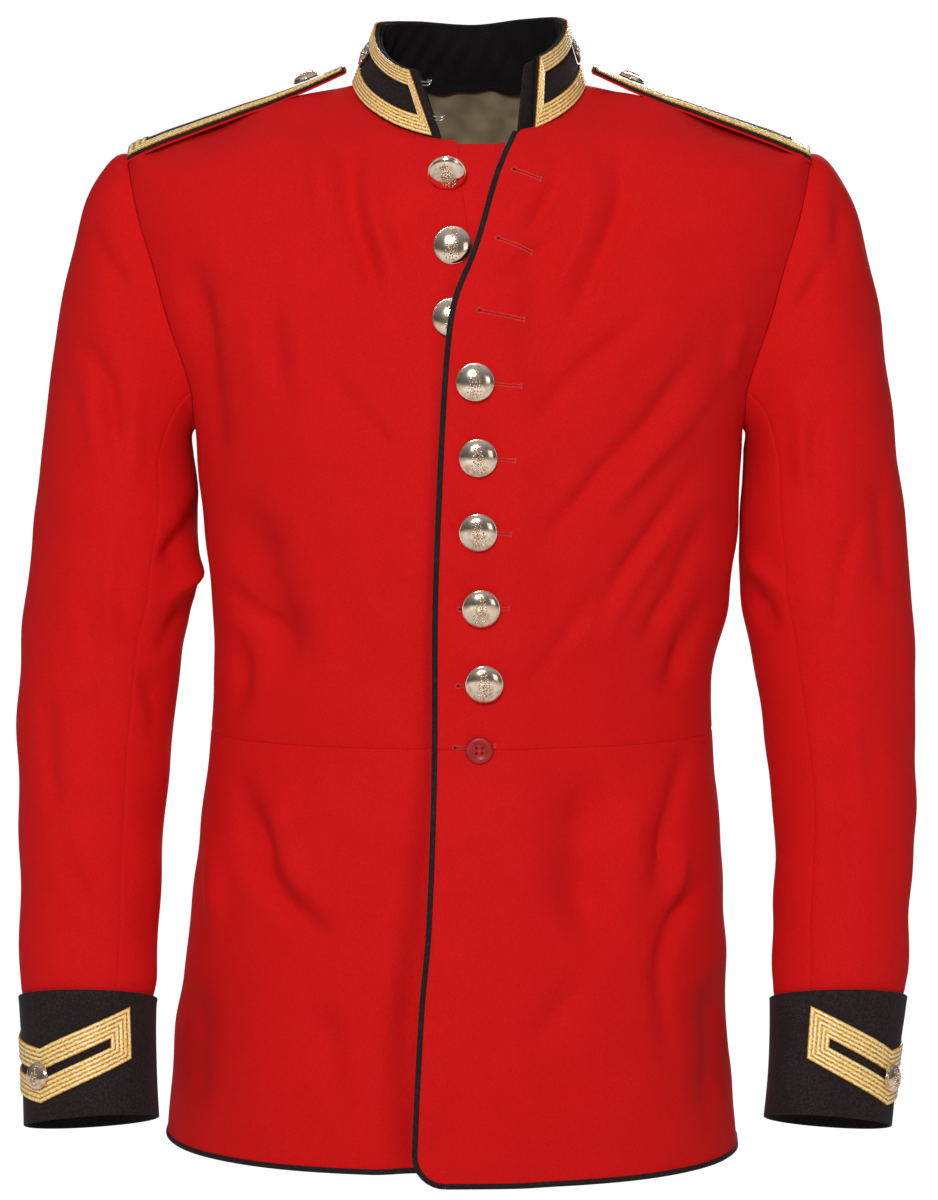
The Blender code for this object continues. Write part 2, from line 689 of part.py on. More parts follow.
def make_skirt_back(side):
    sign = 1 if side == "left" else -1

    def place(across, along, depth):
        row = round(along * SKIRT_ROWS)
        z = SKIRT_HEIGHTS[side][row]
        in_angle = math.pi - seam_trim(z, math.pi)
        out_angle = side_angle(z) + seam_trim(z, math.pi / 2)
        angle = blend(in_angle, out_angle, across) * sign
        return body_point(angle, skirt_height(row, angle, sign), -depth)
    cloth("skirt_back_" + side, BACK_COLUMNS, SKIRT_ROWS, place, "scarlet")


def on_left_front(x, z):
    """Middle of the piping and its normal, on the left front's cloth."""
    angle = front_angle(x, z)
    lap = lap_step(x, z)
    middle = body_point(angle, z, lap - CLOTH / 2)
    return middle, (body_point(angle, z, lap + 0.01) - middle).normalized()


def make_edge_piping():
    """Down the left front's edge, at its rows, and round its lower corner."""
    heights = [row[0] for row in front_rows("left") if row[2] is None or row[2] >= 90]
    heights[0] -= PIPING_WIDTH / 3
    heights = heights[:-1] + SKIRT_HEIGHTS["left"][:SKIRT_STEPS + 1]
    stops = [(front_edge(z), z) for z in heights]
    for turn in CORNER_TURNS:
        z = CORNER_HEIGHT - PIPING_CORNER * math.sin(math.radians(turn))
        stops.append((corner_x(PIPING_CORNER, turn), z))
    strip("piping_edge", stops, on_left_front, PIPING_WIDTH, PIPING_DEPTH, "black wool")


def make_hem_piping(name, start, end, columns, sign, on_left=False):
    """Along the hem between two body angles in radians."""
    def on_hem(angle):
        z = across_skirt(HEM, angle, sign) + PIPING_WIDTH / 2
        lap = lap_step(body_surface(angle, z).x, z) if on_left else 0.0
        middle = body_point(angle, z, lap - CLOTH / 2)
        return middle, (body_point(angle, z, lap + 0.01) - middle).normalized()
    stops = [(blend(start, end, column / columns),) for column in range(columns + 1)]
    strip(name, stops, on_hem, PIPING_WIDTH, PIPING_DEPTH, "black wool")


def make_piping():
    make_edge_piping()
    starts = {"left": corner_x(0.0, 90) + 2 * SEAM, "right": UNDERLAP_EDGE}
    for sign, side in ((1, "left"), (-1, "right")):
        z = HEM[side] + PIPING_WIDTH / 2
        trim = seam_trim(z, math.pi / 2)
        seam = side_angle(z)
        start = front_angle(starts[side], z)
        make_hem_piping("piping_hem_front_" + side, start, sign * (seam - trim), FRONT_COLUMNS, sign,
                        side == "left")
        make_hem_piping("piping_hem_back_" + side, sign * (seam + trim), sign * (math.pi - trim),
                        BACK_COLUMNS, sign)


# ---------------------------------------------------------------- sleeves and cuffs
sleeve_curves = [column_curve(SLEEVE_SECTIONS, column) for column in range(1, 8)]


def sleeve_ring(turn, z, sign):
    """Point of the sleeve's tube; turn is in radians from its outer side by the front."""
    outer, inner, depth, forward, tilt, outer_in, inner_in = (curve(z) for curve in sleeve_curves)
    if sign > 0:
        outer -= outer_in
        inner -= inner_in
    x = (outer + inner) / 2 + (outer - inner) / 2 * math.cos(turn)
    reach = depth / 2 * math.sin(turn)
    lean = math.radians(tilt)
    return Vector((sign * x, -forward - reach * math.cos(lean), z + reach * math.sin(lean)))


def armhole_point(turn, sign):
    """Point of the armhole's seam; turn is in radians from its top by the front."""
    z = armhole_height(math.degrees(turn))
    reach = armhole_reach(z)
    if math.sin(turn) < 0:
        reach *= -back_depth(z) / front_depth(z)
    return Vector((sign * armhole_width(z), -reach, z))


def cap_point(turn, t, sign):
    """Sleeve head: a curve from the armhole's seam to the tube's first ring."""
    start = armhole_point(turn, sign)
    end = sleeve_ring(turn, SLEEVE_ARMPIT, sign)
    top = (1 + math.cos(turn)) / 2
    span = (end - start).length
    out, up = (blend(low, high, top) for low, high in zip(CAP_LEAVE["under"], CAP_LEAVE["top"]))
    leave = Vector((sign * out, -CAP_LEAN * math.sin(turn), up)).normalized()
    start = start + leave * SEAM * 2
    first = start + leave * span * blend(*CAP_HANDLES, top)
    draw = CAP_DRAW["left" if sign > 0 else "right"]
    second = end + Vector((-sign * draw * top, 0, span * CAP_RISE))
    s = 1 - t
    return start * s ** 3 + first * 3 * s * s * t + second * 3 * s * t * t + end * t ** 3


def seam_shift(turn, fall):
    """Turns the sleeve's points so that its front seam drifts below the armhole."""
    at_armhole, below = (math.radians(angle) for angle in SLEEVE_FRONT_SEAM)
    moved = blend(at_armhole, below, ease(fall))
    turn = turn % (2 * math.pi)
    if turn <= at_armhole:
        return turn * moved / at_armhole
    back = math.radians(SLEEVE_BACK_SEAM[0])
    if turn >= back:
        return turn
    return blend(moved, back, (turn - at_armhole) / (back - at_armhole))


def sleeve_surface(sign):
    """The sleeve as a function of turn and fall: 0 to 1 is the head, below 0 a height."""
    def surface(turn, fall):
        if fall < 0:
            drift = ease((SLEEVE_ARMPIT - fall) / SEAM_DRIFT)
            return sleeve_ring(seam_shift(turn, blend(0.5, 1.0, drift)), fall, sign)
        return cap_point(seam_shift(turn, fall / 2), fall, sign)
    return surface


def sleeve_stops():
    """The sleeve's rows: shares of its head, then heights down its tube, and the tuck there."""
    stops = [(SAMPLE * 1.01 + (1 - SAMPLE * 2.02) * row / CAP_ROWS, 0.0) for row in range(CAP_ROWS)]
    heights = [section[0] for section in SLEEVE_SECTIONS.values()]
    stops += [(z, 0.0) for z in heights if z > CUFF_TOP + CUFF_SKEW[0]]
    return stops + [(CUFF_TOP + CUFF_SKEW[0], TUCK), (SLEEVE_END, TUCK)]


SLEEVE_STOPS = sleeve_stops()


def make_sleeve_piece(name, side, start, end, columns):
    """A piece of a sleeve between two angles in degrees."""
    sign = 1 if side == "left" else -1
    surface = sleeve_surface(sign)
    trim = SEAM / SLEEVE_RADIUS

    def place(across, along, depth):
        turn = blend(math.radians(start) + trim / 2, math.radians(end) - trim / 2, across)
        fall, tuck = SLEEVE_STOPS[round(along * (len(SLEEVE_STOPS) - 1))]
        turn_out = sign if fall > 0 else -sign
        return offset_from(surface, turn, fall, -depth - tuck, turn_out)
    cloth(name, columns, len(SLEEVE_STOPS) - 1, place, "scarlet")


def make_sleeves(side):
    front, back = SLEEVE_FRONT_SEAM[0], SLEEVE_BACK_SEAM[0]
    top_columns = round((front + 360 - back) / ARMHOLE_STEP)
    under_columns = round((back - front) / ARMHOLE_STEP)
    make_sleeve_piece("sleeve_top_" + side, side, back - 360, front, top_columns)
    make_sleeve_piece("sleeve_under_" + side, side, front, back, under_columns)


def cuff_surface(sign):
    """The cuff as a function of turn and rise: 0 at its end, 1 at its top."""
    def surface(turn, rise):
        low = CUFF_END - CUFF_SKEW[1] * math.cos(turn)
        high = CUFF_TOP + CUFF_SKEW[0] * math.cos(turn)
        return sleeve_ring(turn, blend(low, high, rise), sign)
    return surface


def make_cuff(side):
    sign = 1 if side == "left" else -1
    surface = cuff_surface(sign)
    point = math.radians(CHEVRON_TURN[side])

    def place(across, along, depth):
        return offset_from(surface, point + across * 2 * math.pi, along, CUFF_OUT - depth, -sign)
    cloth("cuff_" + side, CUFF_COLUMNS, 3, place, "black wool", ring=True)


def make_cuff_lace(side):
    """A pointed frame: two arms that rise from a point, with a slot along their middle."""
    sign = 1 if side == "left" else -1
    surface = cuff_surface(sign)
    point = math.radians(CHEVRON_TURN[side])
    height = (CUFF_TOP - CUFF_END) / math.cos(math.radians(CUFF_LEAN))
    columns = 2 * CHEVRON_ARM

    def place(across, along, depth):
        column = across * columns - CHEVRON_ARM
        band = CHEVRON_BANDS[round(along * 3)]
        rise = (CHEVRON_FOOT + CHEVRON_RISE * abs(column) + band) / height
        turn = point + column * 2 * math.pi / CUFF_COLUMNS
        return offset_from(surface, turn, rise, CUFF_OUT + LACE_ROOM + LACE - depth, -sign)

    def keep(column, row):
        return row != 1 or column in (0, columns - 1)
    cloth("lace_cuff_" + side, columns, 3, place, "gold lace", LACE, keep)


# ---------------------------------------------------------------- collar and neck
collar_height = column_curve(COLLAR_HEIGHTS, 1)


def collar_surface(around, rise):
    """The collar's face: around 0 is its right end, 1 its left end, by the back."""
    base_turn = blend(COLLAR_BASE_ENDS[0], COLLAR_BASE_ENDS[1] - 360, around)
    top_turn = blend(COLLAR_TOP_ENDS[0], COLLAR_TOP_ENDS[1] - 360, around)
    if base_turn < -180:
        base_turn += 360
    base = neck_point(base_turn) + Vector((0, 0, COLLAR_LIFT))
    half, front, back = COLLAR_TOP_HALF
    turn = math.radians(top_turn)
    depth = front if math.cos(turn) > 0 else back
    across = COLLAR_TOP_SHIFT + half * math.sin(turn)
    top = Vector((across, -depth * math.cos(turn), base.z + collar_height(around)))
    return base.lerp(top, rise)


def collar_point(around, rise, out):
    return offset_from(collar_surface, around, rise, out, -1.0)


def collar_station(column):
    """How far round the collar its columns stand; the first marks where the lace starts."""
    if column == 0:
        return 0.0
    return blend(COLLAR_BARE, 1.0, (column - 1) / COLLAR_COLUMNS)


def make_collar():
    last = COLLAR_COLUMNS + 1

    def stand(across, along, depth):
        return collar_point(collar_station(round(across * last)), along, -depth)

    def lining(across, along, depth):
        rise = blend(*COLLAR_INSET, along)
        inside = COLLAR_WALL + 2 * SEAM
        return collar_point(collar_station(round(across * last)), rise, -inside - depth)
    cloth("collar_stand", last, 2, stand, "black wool", COLLAR_WALL)
    cloth("collar_lining", last, 2, lining, "black cloth", COLLAR_LINING)


def make_collar_lace(side):
    """Bands along the top and the foot, joined by an upright at the collar's end."""
    columns = COLLAR_COLUMNS // 2
    heights = (COLLAR_INSET[0], COLLAR_BAND, 1 - COLLAR_BAND, COLLAR_INSET[1])
    first, step = (1, 1) if side == "right" else (COLLAR_COLUMNS + 1, -1)

    def place(across, along, depth):
        column = round(across * columns)
        around = collar_station(first + step * column)
        if column == columns:
            around -= step * COLLAR_SPLIT
        return collar_point(around, heights[round(along * 3)], 3 * SEAM + LACE - depth)

    def keep(column, row):
        return row != 1 or column == 0
    cloth("lace_collar_" + side, columns, 3, place, "gold lace", LACE, keep)


def make_tab():
    """A flap of cloth behind the collar's left end, standing out past it."""
    inside = COLLAR_WALL + COLLAR_LINING + 4 * SEAM

    def place(across, along, depth):
        rise = blend(0.0, TAB_TOP, along)
        root, edge = (collar_point(around, rise, -inside - depth) for around in TAB_SPAN)
        past = (edge - root).normalized()
        return root.lerp(edge + past * blend(*TAB_REACH, along), across)
    cloth("collar_tab", 3, 3, place, "black wool", TAB_WALL)


# ---------------------------------------------------------------- shoulder straps
def shoulder_height(x):
    """Height of the shoulder line at a distance from the centre."""
    low, high = ARMHOLE_TOP, 0.0
    for _ in range(40):
        middle = (low + high) / 2
        if half_width(middle) > x:
            low = middle
        else:
            high = middle
    return (low + high) / 2


strap_lift = column_curve(STRAP_LIFT, 1)


def strap_surface(sign):
    """The strap's underside: along 0 is the sleeve seam, 1 the tip; across is -1 to 1."""
    def surface(along, across):
        x = blend(STRAP_SPAN[0], STRAP_SPAN[1], along)
        half = blend(STRAP_HALF[0], STRAP_HALF[1], along)
        if along > STRAP_TIP:
            past = min((along - STRAP_TIP) / (1 - STRAP_TIP), 1.0)
            half *= math.sqrt(1 - STRAP_BLUNT * past ** 2)
        drop = STRAP_CAMBER * across ** 2 - STRAP_PITCH * across
        return Vector((sign * x, half * across, shoulder_height(x) + strap_lift(along) - drop))
    return surface


def make_strap(side):
    sign = 1 if side == "left" else -1
    surface = strap_surface(sign)

    columns, rows = STRAP_GRID

    def layer(name, finish, keep=None):
        low, thickness = STRAP_LAYERS[name]
        inset = STRAP_INSETS[name]
        length = STRAP_SPAN[0] - STRAP_SPAN[1]

        def place(across, along, depth):
            edge = STRAP_BORDER / STRAP_HALF[0]
            sides = {0: -1.0, 1: edge - 1, columns - 1: 1 - edge, columns: 1.0}
            spread = sides.get(round(across * columns), 0.0)
            t = blend(inset / length, 1 - inset / length, along)
            half = blend(STRAP_HALF[0], STRAP_HALF[1], t)
            spread *= 1 - inset / half
            return surface(t, spread) + Vector((0, 0, low + thickness - depth))
        cloth("strap_%s_%s" % (name, side), columns, rows, place, finish, thickness, keep)

    def border(column, row):
        return column in (0, columns - 1) or row in (0, rows - 1)
    layer("base", "scarlet")
    layer("face", "black wool")
    layer("lace", "gold lace", border)


# ---------------------------------------------------------------- buttons and small parts
def dome_profile(size):
    """Profile of a domed button from its top down: dome, rolled rim, back and shank."""
    radius, height, shank = size
    rim_low, rim_high = BUTTON_RIM
    profile = [(0.0, shank + height)]
    for step in range(1, DOME_STEPS + 1):
        turn = math.pi / 2 * step / DOME_STEPS
        rise = rim_high + (height - rim_high) * math.cos(turn)
        profile.append((radius * math.sin(turn), shank + rise))
    profile += [(radius, shank + rim_low), (radius - rim_high, shank)]
    profile += [(SHANK, shank), (SHANK, 0.0), (0.0, 0.0)]
    return profile


def surface_normal(angle, z):
    return (body_point(angle, z, 0.01) - body_surface(angle, z)).normalized()


def make_front_buttons():
    for name, (x, z, step, droop) in FRONT_BUTTONS.items():
        angle = front_angle(x, z)
        outward = surface_normal(angle, z)
        lap = 0.0 if name in UNDONE_BUTTONS else lap_step(x, z)
        foot = body_point(angle, z, lap + BUTTON_ROOM + step)
        outward.rotate(Matrix.Rotation(math.radians(droop), 3, "X"))
        turned(name, dome_profile(BIG_BUTTON), "plated", foot, outward)
    x, z, radius, thickness = WAIST_BUTTON
    angle = front_angle(x, z)
    foot = body_point(angle, z, lap_step(x, z) + 3 * BUTTON_ROOM)
    profile = [(radius * across, thickness * rise) for across, rise in WAIST_PROFILE]
    turned("button_waist", profile, "red plastic", foot, surface_normal(angle, z))


def make_side_buttons(side):
    """The buttons of one strap and one cuff, and the collar's badge on that side."""
    sign = 1 if side == "left" else -1
    surface = strap_surface(sign)
    along = (STRAP_SPAN[0] - STRAP_BUTTON_X) / (STRAP_SPAN[0] - STRAP_SPAN[1])
    low, thickness = STRAP_LAYERS["face"]
    slope = surface(along + SAMPLE, 0) - surface(along - SAMPLE, 0)
    outward = Vector((0, sign, 0)).cross(slope).normalized()
    foot = surface(along, 0) + Vector((0, 0, low + thickness)) + outward * 2 * BUTTON_ROOM
    turned("button_strap_" + side, dome_profile(STRAP_BUTTON), "plated", foot, outward)

    cuff = cuff_surface(sign)
    turn = math.radians(CHEVRON_TURN[side])
    height = (CUFF_TOP - CUFF_END) / math.cos(math.radians(CUFF_LEAN))
    rise = (CHEVRON_FOOT + (CHEVRON_BANDS[1] + CHEVRON_BANDS[2]) / 2) / height
    foot = offset_from(cuff, turn, rise, CUFF_OUT + BUTTON_ROOM, -sign)
    outward = (offset_from(cuff, turn, rise, 0.02, -sign) - foot).normalized()
    turned("button_cuff_" + side, dome_profile(SMALL_BUTTON), "plated", foot, outward)

    around = BADGES[side]
    foot = collar_point(around, BADGE_RISE, LACE + 2 * BUTTON_ROOM + SEAM)
    outward = (collar_point(around, BADGE_RISE, 0.02) - foot).normalized()
    turned("badge_" + side, BADGE_PROFILE, "plated", foot, outward)


def make_hook(name, rise):
    """A wire hook that stands out of the collar's right end."""
    root = collar_point(0.0, rise, -COLLAR_WALL / 2)
    inward = (root - collar_point(0.02, rise, -COLLAR_WALL / 2)).normalized()
    back = (collar_point(0.0, rise, -0.01) - root).normalized()
    up = Vector((0, 0, 1))
    curve = bpy.data.curves.new(name, "CURVE")
    curve.dimensions = "3D"
    curve.bevel_depth = HOOK_WIRE
    curve.bevel_resolution = 1
    curve.use_fill_caps = True
    wire = curve.splines.new("POLY")
    wire.points.add(len(HOOK_ROUTE) - 1)
    for point, (out, behind, rise_by) in zip(wire.points, HOOK_ROUTE):
        point.co = (*(root + inward * out + back * behind + up * rise_by), 1)
    curve.materials.append(make_material("plated"))
    COLLECTION.objects.link(bpy.data.objects.new(name, curve))


# ---------------------------------------------------------------- the tunic
COLLECTION = make_collection()
for wearer_side in ("left", "right"):
    make_front(wearer_side)
    make_back(wearer_side)
    make_neck_lining(wearer_side)
    make_skirt_front(wearer_side)
    make_skirt_back(wearer_side)
    make_sleeves(wearer_side)
    make_cuff(wearer_side)
    make_cuff_lace(wearer_side)
    make_collar_lace(wearer_side)
    make_strap(wearer_side)
    make_side_buttons(wearer_side)
make_underlap()
make_piping()
make_collar()
make_tab()
make_front_buttons()
for hook, hook_rise in HOOKS.items():
    make_hook(hook, hook_rise)
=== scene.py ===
"""Military dress tunic: the finish of every piece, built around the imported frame.

Metres, +Z up, the front faces -Y. Left and right are the wearer's, so the right side is
at -X. Each cloth piece is a slab: a fine grid on the shape of its solid, pressed by the
garment's creases, with a second layer one wall inside it and its edges rounded over.
"""
import logging
import math
from dataclasses import dataclass, field
from enum import Enum
from typing import Callable, ClassVar, NamedTuple, Sequence

import bpy
import numpy as np
from mathutils import Matrix, Vector


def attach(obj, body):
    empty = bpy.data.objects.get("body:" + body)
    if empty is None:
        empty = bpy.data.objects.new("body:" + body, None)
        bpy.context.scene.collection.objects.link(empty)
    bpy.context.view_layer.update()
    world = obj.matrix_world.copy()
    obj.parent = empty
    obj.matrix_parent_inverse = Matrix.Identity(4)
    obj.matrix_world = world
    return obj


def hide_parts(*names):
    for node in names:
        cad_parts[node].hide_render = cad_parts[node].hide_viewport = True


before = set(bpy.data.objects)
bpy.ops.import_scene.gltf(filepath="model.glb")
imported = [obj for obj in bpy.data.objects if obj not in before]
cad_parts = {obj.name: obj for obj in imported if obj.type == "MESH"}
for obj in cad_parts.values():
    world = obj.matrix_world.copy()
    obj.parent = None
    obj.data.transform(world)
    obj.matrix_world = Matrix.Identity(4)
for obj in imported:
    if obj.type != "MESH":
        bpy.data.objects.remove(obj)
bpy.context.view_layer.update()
LOG = logging.getLogger("tunic")

Array = np.ndarray
Faced = tuple[Array, Array]  # points and their unit normals
Surface = Callable[[Array, Array], Array]
Points = Sequence[Sequence[float]]
Mesh = bpy.types.Mesh
Tree = bpy.types.NodeTree
Node = bpy.types.Node
Socket = bpy.types.NodeSocket

# --- sizes, in metres
CLOTH = 0.002  # melton wool, one wall
SEAM = 0.00035  # room between two pieces that are sewn together, as solids
GAP = 0.00004  # and as it shows
SAMPLE = 0.0004  # step for a surface's tangents
PITCH = 0.0036  # between two points of the cloth's grid
EDGE_STEPS = (0.00025, 0.0006, 0.0011, 0.0019, 0.0034)  # grid lines beside an edge
UP = np.array((0.0, 0.0, 1.0))
SECTION_POWER = 2.3  # 2 would make every body section an ellipse
SHARP = math.radians(50)  # edges steeper than this stay crisp
WAVES_TO_SCALE = 20.0  # a wave texture's bands for each unit of its scale


class Side(Enum):
    """The wearer's two sides, with the sign of X on each."""

    LEFT = 1
    RIGHT = -1

    @property
    def word(self) -> str:
        """The side's name in a piece's name."""
        return self.name.lower()


class Finishing(NamedTuple):
    """How far an edge is rounded over, as a share of the wall, and its dip into a seam."""

    round: float
    sink: float
    width: float


class Edge(Enum):
    """How a slab's edge is finished."""

    FREE = Finishing(0.42, 0.0, 0.001)  # folded round
    SEWN = Finishing(0.12, 0.0004, 0.0034)  # rolls under into a pressed seam
    SET = Finishing(0.05, 0.00012, 0.003)  # meets a sleeve or the collar
    PLAIN = Finishing(0.0, 0.0, 0.001)  # square, and hidden


# --- number tools
def blend(low: float | Array, high: float | Array, t: float | Array) -> float | Array:
    """Value t of the way from low to high."""
    return low + (high - low) * t


def ease(t: float | Array) -> Array:
    """Smooth step from 0 to 1."""
    t = np.clip(t, 0.0, 1.0)
    return t * t * (3 - 2 * t)


def unit(vectors: Array) -> Array:
    """The vectors at length 1."""
    return vectors / np.maximum(np.linalg.norm(vectors, axis=-1, keepdims=True), 1e-12)


def vectors(x: Array, y: Array, z: Array) -> Array:
    """One array of vectors from three arrays of any matching shapes."""
    return np.stack(np.broadcast_arrays(x, y, z), axis=-1).astype(float)


def surface_frame(surface: Surface, a: Array | float, b: Array | float, turn: float = 1.0) -> Faced:
    """Points of a surface and its unit normals.

    Args:
        surface: gives points for two arrays of parameters.
        a: first parameter.
        b: second parameter.
        turn: -1 where the parameters' order gives an inward normal.

    Returns:
        The points and the normals.
    """
    along_a = surface(a + SAMPLE, b) - surface(a - SAMPLE, b)
    along_b = surface(a, b + SAMPLE) - surface(a, b - SAMPLE)
    return surface(a, b), unit(np.cross(along_a, along_b)) * turn


def stations(length: float, pitch: float = PITCH, fine: tuple[bool, bool] = (True, True)) -> Array:
    """Shares from 0 to 1 of a length, about a pitch apart and closer beside its fine ends."""
    near = [step / length for step in EDGE_STEPS]
    low = near[-1] if fine[0] else 0.0
    high = near[-1] if fine[1] else 0.0
    middle = np.linspace(low, 1 - high, max(2, round(length * (1 - low - high) / pitch) + 1))
    start = [0.0] + near[:-1] if fine[0] else []
    end = [1 - step for step in reversed([0.0] + near[:-1])] if fine[1] else []
    return np.concatenate([start, middle, end])


def smooth_path(stops: Points, count: int) -> Array:
    """A smooth line of count points through stops (Catmull-Rom)."""
    stops = np.array(stops, float)
    padded = np.vstack([2 * stops[0] - stops[1], stops, 2 * stops[-1] - stops[-2]])
    place = np.linspace(0, len(stops) - 1, count)
    row = np.minimum(place.astype(int), len(stops) - 2)
    t = (place - row)[:, None]
    a, b, c, d = (padded[row + step] for step in range(4))
    return 0.5 * (2 * b + (c - a) * t + (2 * a - 5 * b + 4 * c - d) * t ** 2
                  + (3 * b - a - 3 * c + d) * t ** 3)


class Curve:
    """A smooth curve through a table's rows that never overshoots them."""

    def __init__(self, keys: Sequence[float], values: Sequence[float]) -> None:
        """Sorts the rows and works out the slope at each."""
        order = np.argsort(keys)
        self.keys = np.array(keys, float)[order]
        self.values = np.array(values, float)[order]
        steps = np.diff(self.values) / np.diff(self.keys)
        before, after = steps[:-1], steps[1:]
        same = before * after > 0
        inner = np.where(same, 2 * before * after / np.where(same, before + after, 1), 0.0)
        self.slopes = np.concatenate([steps[:1], inner, steps[-1:]])

    def __call__(self, key: float | Array) -> Array:
        """The curve's values; beyond its ends it runs on straight."""
        key = np.asarray(key, float)
        row = np.clip(np.searchsorted(self.keys, key) - 1, 0, len(self.keys) - 2)
        width = self.keys[row + 1] - self.keys[row]
        t = np.clip((key - self.keys[row]) / width, 0, 1)
        bend = t * (1 - t) ** 2 * self.slopes[row] - t * t * (1 - t) * self.slopes[row + 1]
        inside = blend(self.values[row], self.values[row + 1], t * t * (3 - 2 * t)) + bend * width
        below = self.slopes[0] * np.minimum(key - self.keys[0], 0)
        return inside + below + self.slopes[-1] * np.maximum(key - self.keys[-1], 0)


def column_curves(table: Points) -> list[Curve]:
    """A curve for each column of a table against its first column."""
    columns = list(zip(*table))
    return [Curve(columns[0], column) for column in columns[1:]]


# --- node tools
def linear(code: str) -> tuple[float, float, float, float]:
    """A colour's linear values from its sRGB hex code."""
    channels = [int(code[place:place + 2], 16) / 255 for place in (1, 3, 5)]
    red, green, blue = (c / 12.92 if c <= 0.04045 else ((c + 0.055) / 1.055) ** 2.4 for c in channels)
    return red, green, blue, 1.0


def noise_scale(size_mm: float) -> float:
    """The texture scale that gives features of this size."""
    return 1000.0 / size_mm


def set_inputs(tree: Tree, node: Node, inputs: dict) -> None:
    """Sets a node's inputs, by name or number, to a value, a socket or a node's first output."""
    for key, value in inputs.items():
        if isinstance(value, Node):
            value = value.outputs[0]
        if isinstance(value, Socket):
            tree.links.new(value, node.inputs[key])
        else:
            node.inputs[key].default_value = value


def add_node(tree: Tree, kind: str, inputs: dict | None = None, stops: Sequence[tuple[float, str]] = (),
        **settings: object) -> Node:
    """Adds one node.

    Args:
        tree: the node tree.
        kind: the node's type name.
        inputs: as set_inputs takes them.
        stops: a colour ramp's places and hex colours.
        settings: the node's own properties.

    Returns:
        The node.
    """
    node = tree.nodes.new(kind)
    for name, value in settings.items():
        setattr(node, name, value)
    for number, (place, code) in enumerate(stops):
        elements = node.color_ramp.elements
        if number == len(elements):
            elements.new(place)
        elements[number].position = place
        elements[number].color = linear(code)
    set_inputs(tree, node, inputs or {})
    return node


# --- finishes
@dataclass(frozen=True)
class Finish:
    """A material made of nodes, which carries the name of one of the record's slots; each kind has its own
    surface.
    """

    name: str
    slot: str
    word: ClassVar[str] = "cloth"  # how a piece made of it is called

    def material(self) -> bpy.types.Material:
        """The material, made once."""
        made = bpy.data.materials.get(self.name)
        if made is None:
            made = bpy.data.materials.new(self.name)
            made.use_nodes = True
            tree = made.node_tree
            set_inputs(tree, tree.nodes["Principled BSDF"], self.surface(tree))
        return made

    def surface(self, tree: Tree) -> dict:
        """Adds the finish's nodes, and gives the shader's inputs."""
        raise NotImplementedError


@dataclass(frozen=True)
class Melton(Finish):
    """Melton: woven wool, fulled and napped until no weave shows.

    The eye gets a dense matt colour, a fine fibre grain, faint clouds where the nap lies
    another way, and a soft pale bloom where the cloth turns away.
    """

    deep: str  # between fibres
    colour: str
    pale: str  # fibre tips
    bloom: str  # tint of the sheen
    sheen: float = 0.12
    nap_mm: float = 1.1  # fibre tufts, drawn about twice as coarse as real ones
    cloud_mm: float = 26.0
    grain: float = 0.35  # bump strength of the nap
    roughness: float = 0.88
    cloudiness: float = 0.16  # share of the clouds in the tone

    def surface(self, tree: Tree) -> dict:
        """Nap and clouds drive the tone; the nap alone drives the bump."""
        place = add_node(tree, "ShaderNodeTexCoord").outputs["Object"]
        nap = add_node(tree, "ShaderNodeTexNoise", {"Vector": place, "Scale": noise_scale(self.nap_mm),
            "Detail": 3.0, "Roughness": 0.7})
        cloud = add_node(tree, "ShaderNodeTexNoise", {"Vector": place,
            "Scale": noise_scale(self.cloud_mm), "Detail": 2.0, "Roughness": 0.55})
        tone = add_node(tree, "ShaderNodeMix", {"Factor": self.cloudiness, "A": nap, "B": cloud})
        return {
            "Base Color": add_node(tree, "ShaderNodeValToRGB", {0: tone},
                                   ((0.3, self.deep), (0.5, self.colour), (0.72, self.pale))),
            "Normal": add_node(tree, "ShaderNodeBump", {"Height": nap, "Strength": self.grain,
                                                        "Distance": 0.0004}),
            "Roughness": self.roughness, "Specular IOR Level": 0.18, "Sheen Weight": self.sheen,
            "Sheen Roughness": 0.45, "Sheen Tint": linear(self.bloom)}


